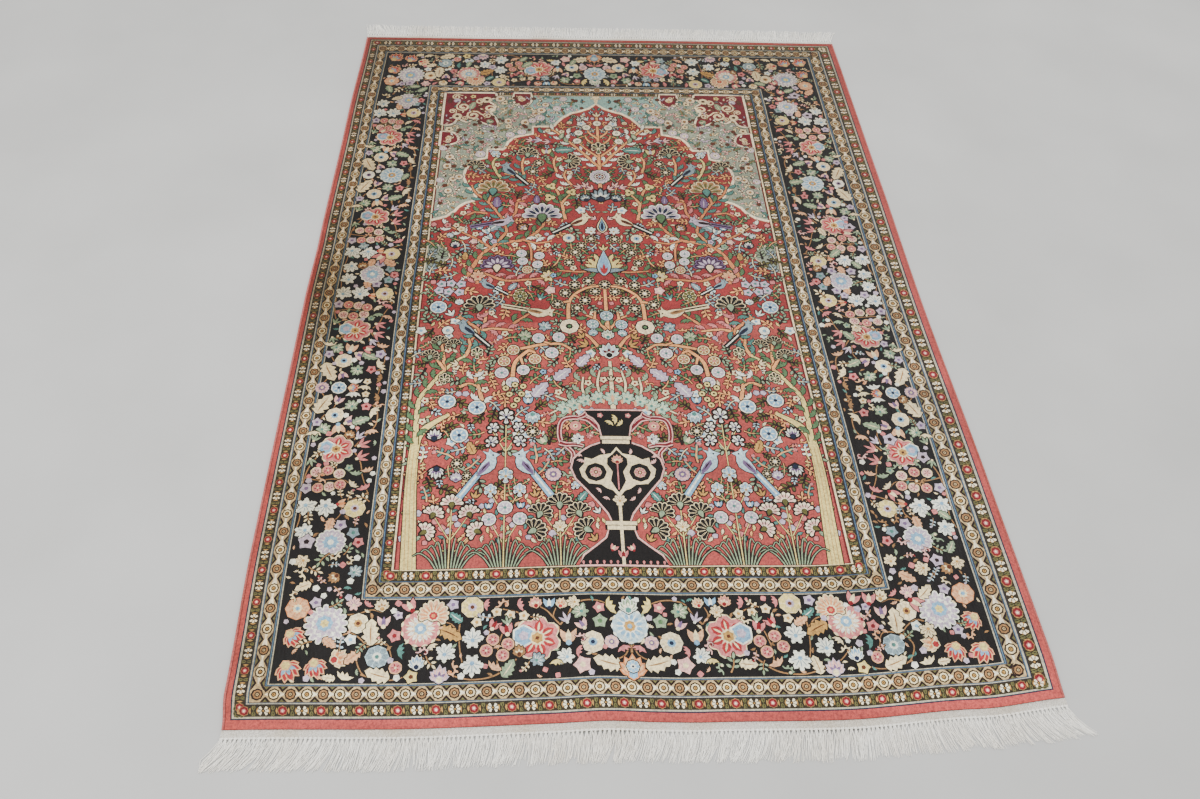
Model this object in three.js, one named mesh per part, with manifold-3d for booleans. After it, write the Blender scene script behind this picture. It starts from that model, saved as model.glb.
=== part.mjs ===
// A hand-knotted silk rug with a flat-woven strip and a knotted fringe at each end.
// Millimetres, +Z up, +Y towards the far end, resting on the plane z = 0.
import * as THREE from 'three';
import { mergeVertices } from 'three/addons/utils/BufferGeometryUtils.js';
import Module from 'manifold-3d';

const wasm = await Module();
wasm.setup();

// Driving sizes of the knotted cloth, its overcast edges included
const RUG_WIDTH = 1240;
const RUG_LENGTH = 1780;
const CLOTH_THICKNESS = 5;
const RIM_WIDTH = 3;
const RIM_DROP = 1.2;
const CELLS_ACROSS = 26;
const CELLS_ALONG = 38;

// Overcast cord along each side
const CORD_WIDTH = 5;
const CORD_HEIGHT = 4.6;
const CORD_SIDES = 8;

// Flat-woven strip and strands at each end
const STRIP_DEPTH = 13;
const STRIP_THICKNESS = 1.8;
const STRANDS_PER_END = 120;
const STRAND_ROOT_INSET = 3;

// Clearance between neighbouring pieces
const GAP = 0.3;

// How far each edge bows out of the plain rectangle, by place along the edge
const leftBow = [
  { at: -890, out: 6 },
  { at: -835, out: 13 },
  { at: -600, out: 18 },
  { at: -50, out: 17 },
  { at: 120, out: 13 },
  { at: 530, out: 7 },
  { at: 890, out: -1 },
];
const rightBow = [
  { at: -890, out: 2 },
  { at: -820, out: 5 },
  { at: -500, out: 3 },
  { at: -60, out: -3 },
  { at: 320, out: 0 },
  { at: 890, out: 2 },
];
const nearBow = [
  { at: -640, out: 2 },
  { at: -330, out: 9 },
  { at: -90, out: 7 },
  { at: 80, out: 13 },
  { at: 270, out: 17 },
  { at: 480, out: 6 },
  { at: 640, out: -7 },
];
const farBow = [
  { at: -640, out: 4 },
  { at: -270, out: 2 },
  { at: 150, out: 1 },
  { at: 640, out: -5 },
];

// Low places where the cloth lifts off the floor; turn is in degrees from +X
const ripples = [
  { x: -80, y: -860, halfLength: 230, halfWidth: 75, turn: 96, height: 4.5 },
  { x: 265, y: -880, halfLength: 230, halfWidth: 150, turn: 80, height: 4 },
  { x: -250, y: -140, halfLength: 420, halfWidth: 80, turn: 1, height: 3 },
  { x: 495, y: -280, halfLength: 330, halfWidth: 80, turn: 92, height: 4 },
  { x: -560, y: 30, halfLength: 260, halfWidth: 85, turn: 88, height: 3.5 },
  { x: 300, y: 560, halfLength: 300, halfWidth: 95, turn: 12, height: 3 },
];

// How far the strands' free ends lean sideways, by place along the end
const nearLean = [
  { at: -640, out: -26 },
  { at: -520, out: -22 },
  { at: -330, out: -4 },
  { at: -60, out: -9 },
  { at: 160, out: -12 },
  { at: 330, out: 1 },
  { at: 500, out: 16 },
  { at: 640, out: 30 },
];
const farLean = [
  { at: -640, out: -10 },
  { at: -420, out: -2 },
  { at: 0, out: 3 },
  { at: 380, out: 9 },
  { at: 640, out: 14 },
];

const ends = {
  near: { side: -1, lean: nearLean, strandLength: 44 },
  far: { side: 1, lean: farLean, strandLength: 50 },
};

// Rings of one strand from its root to its tip: share of its length, half width, height, lift off the floor
const strandRings = [
  { along: 0, halfWidth: 2.0, height: 1.1, lift: 0.3 },
  { along: 0.24, halfWidth: 2.9, height: 2.2, lift: 0 },
  { along: 0.62, halfWidth: 3.5, height: 1.9, lift: 0 },
  { along: 1, halfWidth: 2.9, height: 1.3, lift: 0 },
];

const materials = {
  pile: { color: '#a8564d', roughness: 0.62, metalness: 0 },
  overcast: { color: '#bf5f55', roughness: 0.7, metalness: 0 },
  cotton: { color: '#e9e3d6', roughness: 0.85, metalness: 0 },
};

// Reads a bow or lean table at one place, with a smooth step between its rows
function readTable(table, at) {
  if (at <= table[0].at) return table[0].out;
  for (let i = 1; i < table.length; i += 1) {
    const [a, b] = [table[i - 1], table[i]];
    if (at <= b.at) {
      const t = (at - a.at) / (b.at - a.at);
      return a.out + (b.out - a.out) * t * t * (3 - 2 * t);
    }
  }
  return table[table.length - 1].out;
}

const leftEdge = (y) => -RUG_WIDTH / 2 - readTable(leftBow, y);
const rightEdge = (y) => RUG_WIDTH / 2 + readTable(rightBow, y);
const nearEdge = (x) => -RUG_LENGTH / 2 - readTable(nearBow, x);
const farEdge = (x) => RUG_LENGTH / 2 + readTable(farBow, x);

// Height of the cloth's underside above the floor
function lift(x, y) {
  let height = 0;
  for (const r of ripples) {
    const turn = THREE.MathUtils.degToRad(r.turn);
    const dx = x - r.x;
    const dy = y - r.y;
    const along = (dx * Math.cos(turn) + dy * Math.sin(turn)) / r.halfLength;
    const across = (-dx * Math.sin(turn) + dy * Math.cos(turn)) / r.halfWidth;
    if (Math.abs(along) >= 1 || Math.abs(across) >= 1) continue;
    const rise = 0.25 * (1 + Math.cos(Math.PI * along)) * (1 + Math.cos(Math.PI * across));
    height = Math.max(height, r.height * rise);
  }
  return height;
}

// Place on the cloth for two shares from 0 to 1, inset from the sides by the overcast cords
function clothPoint(across, along) {
  const yStraight = THREE.MathUtils.lerp(-RUG_LENGTH / 2, RUG_LENGTH / 2, along);
  const inset = CORD_WIDTH + GAP;
  const x = THREE.MathUtils.lerp(leftEdge(yStraight) + inset, rightEdge(yStraight) - inset, across);
  const y = THREE.MathUtils.lerp(nearEdge(x), farEdge(x), along);
  return [x, y];
}

// Even shares from 0 to 1 with a narrow first and last cell for the worn rim
function sharesWithRim(cells, size) {
  const rim = RIM_WIDTH / size;
  const inner = Array.from({ length: cells + 1 }, (_, i) => rim + (1 - 2 * rim) * (i / cells));
  return [0, ...inner, 1];
}

const acrossShares = sharesWithRim(CELLS_ACROSS, RUG_WIDTH);
const alongShares = sharesWithRim(CELLS_ALONG, RUG_LENGTH);

// Closed slab between an upper and a lower grid of points
function slabGeometry(columns, rows, upperPoint, lowerPoint) {
  const positions = [];
  for (const point of [upperPoint, lowerPoint]) {
    for (let j = 0; j < rows; j += 1) {
      for (let i = 0; i < columns; i += 1) positions.push(...point(i, j));
    }
  }
  const index = [];
  const upper = (i, j) => j * columns + i;
  const lower = (i, j) => columns * rows + j * columns + i;
  const quad = (a, b, c, d) => index.push(a, b, c, a, c, d);
  for (let j = 0; j + 1 < rows; j += 1) {
    for (let i = 0; i + 1 < columns; i += 1) {
      quad(upper(i, j), upper(i + 1, j), upper(i + 1, j + 1), upper(i, j + 1));
      quad(lower(i, j), lower(i, j + 1), lower(i + 1, j + 1), lower(i + 1, j));
    }
  }
  for (let i = 0; i + 1 < columns; i += 1) {
    quad(lower(i, 0), lower(i + 1, 0), upper(i + 1, 0), upper(i, 0));
    quad(upper(i, rows - 1), upper(i + 1, rows - 1), lower(i + 1, rows - 1), lower(i, rows - 1));
  }
  for (let j = 0; j + 1 < rows; j += 1) {
    quad(upper(0, j), upper(0, j + 1), lower(0, j + 1), lower(0, j));
    quad(lower(columns - 1, j), lower(columns - 1, j + 1), upper(columns - 1, j + 1), upper(columns - 1, j));
  }
  return indexed(positions, index);
}

// Closed bar through rings that all have the same number of points, seen anticlockwise from the last ring
function loftGeometry(rings) {
  const sides = rings[0].length;
  const index = [];
  for (let r = 0; r + 1 < rings.length; r += 1) {
    for (let s = 0; s < sides; s += 1) {
      const [a, b] = [r * sides + s, r * sides + ((s + 1) % sides)];
      index.push(a, b, b + sides, a, b + sides, a + sides);
    }
  }
  const last = (rings.length - 1) * sides;
  for (let s = 1; s + 1 < sides; s += 1) {
    index.push(0, s + 1, s);
    index.push(last, last + s, last + s + 1);
  }
  return indexed(rings.flat(2), index);
}

function indexed(positions, index) {
  const geometry = new THREE.BufferGeometry();
  geometry.setAttribute('position', new THREE.Float32BufferAttribute(positions, 3));
  geometry.setIndex(index);
  return geometry;
}

function toSolid(geometry) {
  const merged = mergeVertices(geometry, 1e-4);
  return new wasm.Manifold(new wasm.Mesh({
    numProp: 3,
    vertProperties: new Float32Array(merged.attributes.position.array),
    triVerts: new Uint32Array(merged.index.array),
  }));
}

function fromSolid(solid) {
  const mesh = solid.getMesh();
  return indexed(Array.from(mesh.vertProperties), Array.from(mesh.triVerts));
}

function pieceMesh(name, geometry, look) {
  const faceted = geometry.toNonIndexed();
  faceted.computeVertexNormals();
  const mesh = new THREE.Mesh(faceted, new THREE.MeshStandardMaterial(look));
  mesh.name = name;
  return mesh;
}

// The knotted cloth: one thin slab, worn a little lower round its rim
function clothGeometry() {
  const [columns, rows] = [acrossShares.length, alongShares.length];
  const onRim = (i, j) => i === 0 || j === 0 || i === columns - 1 || j === rows - 1;
  const upper = (i, j) => {
    const [x, y] = clothPoint(acrossShares[i], alongShares[j]);
    return [x, y, lift(x, y) + CLOTH_THICKNESS - (onRim(i, j) ? RIM_DROP : 0)];
  };
  const lower = (i, j) => {
    const [x, y] = clothPoint(acrossShares[i], alongShares[j]);
    return [x, y, lift(x, y)];
  };
  return slabGeometry(columns, rows, upper, lower);
}

// Overcast cord: an oval bar beside the cloth, following its bow and its ripples
function cordGeometry(side) {
  const rings = [];
  for (const along of alongShares) {
    const yStraight = THREE.MathUtils.lerp(-RUG_LENGTH / 2, RUG_LENGTH / 2, along);
    const outer = side < 0 ? leftEdge(yStraight) : rightEdge(yStraight);
    const centre = outer - side * CORD_WIDTH / 2;
    const y = THREE.MathUtils.lerp(nearEdge(outer), farEdge(outer), along);
    const base = lift(centre, y);
    const ring = [];
    for (let s = 0; s < CORD_SIDES; s += 1) {
      const angle = -2 * Math.PI * (s + 0.5) / CORD_SIDES;
      const round = 1 / Math.cos(Math.PI / CORD_SIDES);
      const x = centre + CORD_WIDTH / 2 * round * Math.cos(angle);
      ring.push([x, y, base + CORD_HEIGHT / 2 * (1 + round * Math.sin(angle))]);
    }
    rings.push(ring);
  }
  return loftGeometry(rings);
}

// Edge of the strip nearest to the cloth, and its lift there
function stripEdge(end, x) {
  const edge = end.side < 0 ? nearEdge(x) : farEdge(x);
  return { y: edge + end.side * GAP, lift: lift(x, edge) };
}

// Places across one end: the outer sides of both cords, and the cloth's own columns between them
function stripColumns(end) {
  const along = end.side < 0 ? 0 : 1;
  const cloth = acrossShares.map((across) => clothPoint(across, along)[0]);
  return [leftEdge(end.side * RUG_LENGTH / 2), ...cloth, rightEdge(end.side * RUG_LENGTH / 2)];
}

// Flat-woven strip along one end, level with the underside of the cloth
function stripGeometry(end) {
  const columns = stripColumns(end);
  const point = (i, j, top) => {
    const edge = stripEdge(end, columns[i]);
    const out = end.side < 0 ? 1 - j : j;
    return [columns[i], edge.y + end.side * STRIP_DEPTH * out, edge.lift + top];
  };
  return slabGeometry(columns.length, 2, (i, j) => point(i, j, STRIP_THICKNESS), (i, j) => point(i, j, 0));
}

// Slow unevenness from -1 to 1, the same on each run
function unevenness(place, seed) {
  return 0.5 * Math.sin(place * 0.071 + seed) + 0.3 * Math.sin(place * 0.23 + 2 * seed)
    + 0.2 * Math.sin(place * 0.61 + 3 * seed);
}

// One strand of the fringe: three-sided, flat on the floor from its knot to its tip
function strandGeometry(end, x) {
  const edge = stripEdge(end, x);
  const length = end.strandLength + STRAND_ROOT_INSET + 4 * unevenness(x, end.side + 2);
  const lean = readTable(end.lean, x) + 1.5 * unevenness(x, end.side + 5);
  const rings = strandRings.map((ring) => {
    const rootY = edge.y + end.side * (STRIP_DEPTH - STRAND_ROOT_INSET);
    const y = rootY + end.side * length * ring.along;
    const centre = x + lean * ring.along * ring.along;
    const base = ring.lift + edge.lift * (1 - ring.along) ** 3;
    const corners = [
      [centre - ring.halfWidth, y, base],
      [centre + ring.halfWidth, y, base],
      [centre, y, base + ring.height],
    ];
    return end.side < 0 ? corners : corners.reverse();
  });
  return loftGeometry(rings);
}

// Strip and strands of one end, joined into one body
function fringeGeometry(end) {
  const left = leftEdge(end.side * RUG_LENGTH / 2);
  const right = rightEdge(end.side * RUG_LENGTH / 2);
  let body = toSolid(stripGeometry(end));
  for (let i = 0; i < STRANDS_PER_END; i += 1) {
    const x = THREE.MathUtils.lerp(left, right, (i + 0.5) / STRANDS_PER_END);
    body = body.add(toSolid(strandGeometry(end, x)));
  }
  return fromSolid(body);
}

const group = new THREE.Group();
group.add(pieceMesh('rug', clothGeometry(), materials.pile));
group.add(pieceMesh('selvedge_left', cordGeometry(-1), materials.overcast));
group.add(pieceMesh('selvedge_right', cordGeometry(1), materials.overcast));
group.add(pieceMesh('fringe_near', fringeGeometry(ends.near), materials.cotton));
group.add(pieceMesh('fringe_far', fringeGeometry(ends.far), materials.cotton));

// The origin lies under the middle of the whole rug, fringes included
const reach = new THREE.Box3().setFromObject(group);
const middle = reach.getCenter(new THREE.Vector3());
group.position.set(-middle.x, -middle.y, 0);

export default group;
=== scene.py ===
# A hand-knotted silk rug lying flat: knotted pile, overcast edges, woven strips and knotted fringes.
import cmath
import math

import bpy
import numpy as np
from mathutils import Matrix, Vector
from mathutils.bvhtree import BVHTree
from mathutils.geometry import delaunay_2d_cdt


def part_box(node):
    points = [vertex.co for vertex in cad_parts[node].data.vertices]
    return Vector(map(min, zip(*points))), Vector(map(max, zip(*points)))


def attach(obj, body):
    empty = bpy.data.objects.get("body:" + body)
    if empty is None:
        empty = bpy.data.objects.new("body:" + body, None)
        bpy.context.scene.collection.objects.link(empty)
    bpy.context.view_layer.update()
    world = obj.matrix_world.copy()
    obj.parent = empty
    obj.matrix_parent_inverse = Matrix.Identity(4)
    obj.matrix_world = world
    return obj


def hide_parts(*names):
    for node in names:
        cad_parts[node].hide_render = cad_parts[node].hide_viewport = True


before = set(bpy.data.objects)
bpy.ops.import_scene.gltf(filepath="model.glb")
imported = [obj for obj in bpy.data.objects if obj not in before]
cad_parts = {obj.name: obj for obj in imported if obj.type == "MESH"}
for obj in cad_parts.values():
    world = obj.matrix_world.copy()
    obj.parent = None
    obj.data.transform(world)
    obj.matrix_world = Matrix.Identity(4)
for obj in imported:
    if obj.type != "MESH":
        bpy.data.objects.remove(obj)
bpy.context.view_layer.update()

MM = 0.001
TAU = 2 * math.pi

# Driving sizes in millimetres, the same as the solids have
RUG_WIDTH = 1240
RUG_LENGTH = 1780
CLOTH_THICKNESS = 5
RIM_WIDTH = 3
RIM_DROP = 1.2
CORD_WIDTH = 5
CORD_HEIGHT = 4.6
STRIP_DEPTH = 13
STRIP_THICKNESS = 1.8
GAP = 0.3
SIDE_INSET = CORD_WIDTH + GAP

# How far each edge bows out of the plain rectangle: (place along the edge, distance out)
LEFT_BOW = ((-890, 6), (-835, 13), (-600, 18), (-50, 17), (120, 13), (530, 7), (890, -1))
RIGHT_BOW = ((-890, 2), (-820, 5), (-500, 3), (-60, -3), (320, 0), (890, 2))
NEAR_BOW = ((-640, 2), (-330, 9), (-90, 7), (80, 13), (270, 17), (480, 6), (640, -7))
FAR_BOW = ((-640, 4), (-270, 2), (150, 1), (640, -5))

# Low places where the cloth lifts off the floor: (x, y, half length, half width, turn in degrees, height)
RIPPLES = (
    (-80, -860, 230, 75, 96, 4.5),
    (265, -880, 230, 150, 80, 4),
    (-250, -140, 420, 80, 1, 3),
    (495, -280, 330, 80, 92, 4),
    (-560, 30, 260, 85, 88, 3.5),
    (300, 560, 300, 95, 12, 3),
)

# How far the threads' free ends lean sideways: (place along the end, distance)
NEAR_LEAN = ((-640, -26), (-520, -22), (-330, -4), (-60, -9), (160, -12), (330, 1), (500, 16), (640, 30))
FAR_LEAN = ((-640, -10), (-420, -2), (0, 3), (380, 9), (640, 14))

# Middle of the mirrored design, a little left of the cloth's middle
AXIS = -26


def read_table(table, at):
    """Values of a (place, value) table, with a smooth step between its rows."""
    places, values = np.array(table, float).T
    at = np.clip(np.asarray(at, float), places[0], places[-1])
    row = np.clip(np.searchsorted(places, at, side="right") - 1, 0, len(places) - 2)
    share = (at - places[row]) / (places[row + 1] - places[row])
    return values[row] + (values[row + 1] - values[row]) * share * share * (3 - 2 * share)


def left_edge(y):
    return -RUG_WIDTH / 2 - read_table(LEFT_BOW, y)


def right_edge(y):
    return RUG_WIDTH / 2 + read_table(RIGHT_BOW, y)


def near_edge(x):
    return -RUG_LENGTH / 2 - read_table(NEAR_BOW, x)


def far_edge(x):
    return RUG_LENGTH / 2 + read_table(FAR_BOW, x)


def lift(x, y):
    """Height of the cloth's underside above the floor."""
    height = np.zeros(np.broadcast(x, y).shape)
    for cx, cy, half_length, half_width, turn, top in RIPPLES:
        dx, dy = x - cx, y - cy
        c, s = math.cos(math.radians(turn)), math.sin(math.radians(turn))
        along = np.clip((dx * c + dy * s) / half_length, -1, 1)
        across = np.clip((dy * c - dx * s) / half_width, -1, 1)
        rise = 0.25 * (1 + np.cos(math.pi * along)) * (1 + np.cos(math.pi * across))
        height = np.maximum(height, top * rise)
    return height


def cloth_point(u, v):
    """Place on the floor, in millimetres, of a point of the straight design."""
    along = (v + RUG_LENGTH / 2) / RUG_LENGTH
    across = (u + RUG_WIDTH / 2 - SIDE_INSET) / (RUG_WIDTH - 2 * SIDE_INSET)
    left, right = left_edge(v) + SIDE_INSET, right_edge(v) - SIDE_INSET
    x = left + (right - left) * across
    y = near_edge(x) + (far_edge(x) - near_edge(x)) * along
    return x, y


def centring():
    """Shift from these sizes to the frame, whose origin is under the middle of the whole rug."""
    lowest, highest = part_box("rug")
    ys = np.linspace(-RUG_LENGTH / 2, RUG_LENGTH / 2, 400)
    xs = np.linspace(-RUG_WIDTH / 2, RUG_WIDTH / 2, 400)
    left, far = left_edge(ys).min() + SIDE_INSET, far_edge(xs).max()
    return np.array([lowest[0] / MM - left, highest[1] / MM - far])


SHIFT = centring()


# Design kit: outlines are arrays of complex numbers, in millimetres, and later outlines lie on top
shapes = []
occupied = []


class Pen:
    """Draws in its own units where it stands: turned, sized and perhaps mirrored."""

    def __init__(self, origin=0j, step=1 + 0j, mirrored=False):
        self.origin = complex(origin)
        self.step = complex(step)
        self.mirrored = mirrored

    def to_design(self, z):
        z = np.asarray(z, complex)
        return self.origin + self.step * (z.conjugate() if self.mirrored else z)

    def at(self, z=0j, turn=0.0, size=1.0):
        step = cmath.rect(size, math.radians(turn))
        step = step.conjugate() if self.mirrored else step
        return Pen(complex(self.to_design(z)), self.step * step, self.mirrored)

    def fill(self, colour, outline):
        shapes.append((colour, self.to_design(outline)))

    def claim(self, radius=1.0):
        """Keeps the fillers off the round place under the pen."""
        occupied.append((self.origin, radius * abs(self.step)))


def lobed(count, depth=0.0, per=4, power=1.0):
    """Round outline of size 1 with lobes; depth 0 is a plain polygon."""
    angle = np.arange(count * per) * (TAU / (count * per))
    return (1 - depth * (1 - np.abs(np.cos(angle * count / 2)) ** power)) * np.exp(1j * angle)


ROUND = ((0, 0.12), (0.4, 0.75), (0.72, 1), (1, 0.45))
POINTED = ((0, 0.12), (0.3, 0.9), (0.65, 0.85), (1, 0))
SPATULA = ((0, 0.3), (0.55, 0.6), (0.82, 1), (1, 0.4))
DROP = ((0, 0.2), (0.16, 0.8), (0.36, 1), (0.6, 0.72), (0.82, 0.3), (1, 0))
SERRATED = (
    (0, 0.15), (0.14, 0.8), (0.2, 0.5), (0.36, 1), (0.44, 0.65), (0.6, 0.9), (0.67, 0.5), (0.82, 0.6),
    (1, 0),
)


def blade(profile, start, end, width, bend=0.0):
    """Closed outline along +x from start to end, through rows of (share of length, share of half width)."""
    rows = np.array(profile)
    spine = start + (end - start) * rows[:, 0] + 1j * bend * (end - start) * rows[:, 0] ** 2
    side = 0.5j * width * rows[:, 1]
    return np.concatenate([spine + side, (spine - side)[::-1]])


def grown(outline, width):
    """The outline moved out by a width, for the dark line round a motif."""
    outline = anticlockwise(np.asarray(outline, complex))
    ahead, behind = np.roll(outline, -1), np.roll(outline, 1)
    heading = ahead - behind
    return outline - 1j * width * heading / np.maximum(np.abs(heading), 1e-9)


def anticlockwise(outline):
    """The outline turned round where it runs clockwise."""
    ahead = np.roll(outline, -1)
    turning = np.sum(outline.real * ahead.imag - outline.imag * ahead.real)
    return outline if turning > 0 else outline[::-1]


def smooth(points, per=6):
    """Curve through given points, as complex numbers."""
    p = np.array([complex(*q) if isinstance(q, tuple) else q for q in points])
    p = np.concatenate([[2 * p[0] - p[1]], p, [2 * p[-1] - p[-2]]])
    t = np.linspace(0, 1, per, endpoint=False)
    out = []
    for a, b, c, d in zip(p, p[1:], p[2:], p[3:]):
        second, third = 2 * a - 5 * b + 4 * c - d, 3 * b - a - 3 * c + d
        out.append(0.5 * (2 * b + (c - a) * t + second * t**2 + third * t**3))
    return np.concatenate(out + [[p[-2]]])


def ribbon(path, start_width, end_width):
    """Outline of a stem along a path, narrowing to its end."""
    path = np.asarray(path, complex)
    heading = np.gradient(path)
    normal = 1j * heading / np.maximum(np.abs(heading), 1e-6)
    half = np.linspace(start_width, end_width, len(path)) / 2
    return np.concatenate([path + normal * half, (path - normal * half)[::-1]])


def points_of(points):
    return np.array([complex(*p) for p in points])


CURL = points_of((
    (-1, 0), (-0.45, -0.42), (0.25, -0.5), (0.82, -0.12), (1, 0.4), (0.55, 0.1), (0.42, 0.44),
    (0.1, 0.06), (-0.12, 0.4), (-0.4, 0.02),
))
TWIG = points_of((
    (-1, -0.36), (-0.62, -0.2), (-0.4, -0.56), (-0.2, -0.4), (-0.3, -0.08), (0.1, 0), (0.38, -0.36),
    (0.52, -0.18), (0.34, 0.04), (0.62, 0.1), (1, -0.14), (0.94, 0.2), (0.6, 0.32), (0.3, 0.22),
    (0.3, 0.66), (0.08, 0.5), (0.1, 0.16), (-0.2, 0.08), (-0.3, 0.5), (-0.52, 0.36), (-0.46, 0.02),
    (-0.7, -0.08), (-1, -0.22),
))
SCROLL = points_of((
    (-1, -0.3), (-0.55, -0.34), (-0.2, -0.1), (0.02, 0.2), (0.3, 0.3), (0.6, 0.14), (0.66, -0.14),
    (0.5, -0.3), (0.3, -0.24), (0.34, -0.4), (0.62, -0.46), (0.86, -0.2), (0.84, 0.2), (1, 0.5),
    (0.66, 0.38), (0.36, 0.5), (0.3, 0.86), (0.06, 0.74), (0.06, 0.44), (-0.16, 0.3), (-0.4, 0.62),
    (-0.58, 0.4), (-0.42, 0.04), (-0.62, -0.14), (-1, -0.14),
))
BIRD_BODY = (
    (-0.62, 0.25), (-0.42, 0.2), (-0.36, -0.02), (-0.2, -0.24), (0.06, -0.34), (0.3, -0.34), (0.5, -0.3),
    (0.4, -0.08), (0.16, 0.14), (-0.08, 0.28), (-0.14, 0.44), (-0.06, 0.66), (-0.24, 0.5), (-0.34, 0.66),
    (-0.4, 0.46), (-0.5, 0.36),
)
BIRD_WING = ((-0.14, 0.14), (0.14, 0.04), (0.42, -0.16), (0.5, -0.34), (0.2, -0.24), (-0.1, -0.06))
BIRD_TAIL = ((0.3, -0.3), (1.36, -1.04), (1.52, -0.84), (0.42, -0.1))


def spiral():
    turns = np.linspace(0.35, 1.9, 14)
    path = turns / 1.9 * np.exp(1j * TAU * turns)
    return ribbon(np.concatenate([path, [1.25 - 0.5j]]), 0.42, 0.2)


SPIRAL = spiral()


# Flowers and leaves, each of radius 1; a palette is (edge, petal, inner, heart)
def spread(count, offset=0.0):
    return [360 / count * (i + offset) for i in range(count)]


def ring(pen, turns, *petals):
    """The same petals, as (yarn, outline), at several turns round the pen."""
    for turn in turns:
        spot = pen.at(turn=turn)
        for yarn, outline in petals:
            spot.fill(yarn, outline)


def rosette(pen, edge, petal, inner, heart):
    pen.fill(edge, lobed(12, 0.12))
    ring(pen, spread(12, 0.5),
         (petal, blade(SPATULA, 0.3, 0.93, 0.46)), (inner, blade(POINTED, 0.34, 0.72, 0.2)))
    pen.fill(edge, 0.4 * lobed(12, 0.1, 2))
    pen.fill(heart, 0.33 * lobed(8, 0.15, 2))
    pen.fill(inner, 0.14 * lobed(6, 0, 1))


def peony(pen, edge, petal, inner, heart):
    pen.fill(edge, lobed(7, 0.2, 4, 0.8))
    ring(pen, spread(7), (petal, blade(ROUND, 0.2, 0.9, 0.66)), (inner, blade(POINTED, 0.25, 0.8, 0.4)),
         (edge, blade(POINTED, 0.3, 0.7, 0.1)))
    side = pen.at(-0.42 - 0.38j)
    side.fill("white", 0.5 * lobed(6, 0.2, 3))
    side.fill("sky", 0.42 * lobed(6, 0.2, 3))
    side.fill("lavender", 0.22 * lobed(5, 0.2, 2))
    pen.fill(edge, 0.34 * lobed(7, 0.2, 2))
    pen.fill(heart, 0.26 * lobed(6, 0.2, 2))
    pen.fill("brown", 0.1 * lobed(4, 0, 1))


def ragged(pen, edge, petal, inner, heart):
    pen.fill(edge, lobed(16, 0.2, 4, 0.6))
    ring(pen, spread(16), (petal, blade(SERRATED, 0.35, 0.94, 0.3)))
    pen.fill(edge, 0.66 * lobed(13, 0.2, 3, 0.7))
    ring(pen, range(9, 372, 33), (petal, blade(POINTED, 0.15, 0.62, 0.26)))
    pen.at(0.08).fill(inner, 0.4 * lobed(8, 0.25, 3))
    pen.at(0.08).fill(heart, 0.22 * lobed(6, 0.25, 2))


def daisy(pen, edge, petal, inner, heart):
    pen.fill(edge, lobed(8, 0.14, 3))
    ring(pen, spread(8), (petal, blade(ROUND, 0.28, 0.94, 0.56)))
    pen.fill(inner, 0.4 * lobed(8, 0.12, 2))
    pen.fill(heart, 0.2 * lobed(6, 0, 1))


def bloom(pen, edge, petal, inner, heart):
    pen.fill(petal, lobed(5, 0.3, 2))
    pen.fill(heart, 0.34 * lobed(5, 0, 1))


def berry(pen, edge, petal, inner, heart):
    pen.fill(edge, lobed(7, 0.1, 3))
    pen.fill(petal, 0.8 * lobed(7, 0.1, 3))
    ring(pen, spread(5), (inner, blade(POINTED, 0.2, 0.68, 0.18)))
    pen.fill(heart, 0.2 * lobed(5, 0, 1))


def star(pen, edge, petal, inner, heart):
    pen.fill(edge, lobed(14, 0.12))
    pen.fill(petal, 0.9 * lobed(14, 0.14))
    ring(pen, spread(14), (edge, blade(POINTED, 0.36, 0.8, 0.07)))
    pen.fill(inner, 0.56 * lobed(8, 0.5, 3, 0.8))
    pen.fill(heart, 0.22 * lobed(8, 0.2, 2))


def lotus(pen, edge, petal, inner, heart):
    """Half flower that opens along +x."""
    for turn, length in (
            (-78, 0.8), (78, 0.8), (-52, 0.95), (52, 0.95), (-26, 1.05), (26, 1.05), (0, 1.15)):
        p = pen.at(turn=turn)
        p.fill(edge, blade(POINTED, 0, length, 0.56))
        p.fill(petal, blade(POINTED, 0.06, length - 0.12, 0.4))
    ring(pen, (-50, 0, 50), (inner, blade(POINTED, 0.05, 0.62, 0.26)))
    pen.at(-0.08).fill(edge, 0.36 * lobed(6, 0.15, 2))
    pen.at(-0.08).fill(heart, 0.27 * lobed(6, 0.15, 2))


def cluster(pen, edge, petal, inner, heart):
    """White lobed leaf flower with thin veins."""
    for turn, length, width in ((150, 0.75, 0.6), (-150, 0.75, 0.6), (75, 0.95, 0.72), (-75, 0.95, 0.72),
                                (35, 1.0, 0.7), (-35, 1.0, 0.7), (0, 1.12, 0.6)):
        pen.at(turn=turn).fill(petal, blade(SERRATED, -0.1, length, width))
    ring(pen, (-75, -35, 0, 35, 75), (inner, blade(POINTED, 0.1, 0.8, 0.09)))
    pen.fill(heart, 0.2 * lobed(5, 0.2, 2))


def leaf(pen, edge, petal, inner, heart):
    """Serrated leaf along +x, rooted at the pen."""
    pen.fill(petal, blade(SERRATED, -1, 1, 1.3, 0.12))
    pen.fill(inner, blade(POINTED, -0.9, 0.75, 0.12, 0.12))


def curl(pen, edge, petal, inner, heart):
    """Half leaf that curls over to one side."""
    pen.fill(petal, CURL)


def bud(pen, edge, petal, inner, heart):
    pen.fill(petal, lobed(5, 0.25, 1) if edge == petal else lobed(4, 0.2, 2))


def sprig(pen, edge, petal, inner, heart):
    """Three narrow leaves from one point."""
    for turn, length in ((-38, 0.9), (38, 0.9), (0, 1.1)):
        pen.at(-0.5, turn=turn).fill(petal, blade(POINTED, 0, length + 0.3, 0.34))
    pen.at(-0.5).fill(inner, 0.2 * lobed(5, 0, 1))


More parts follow.
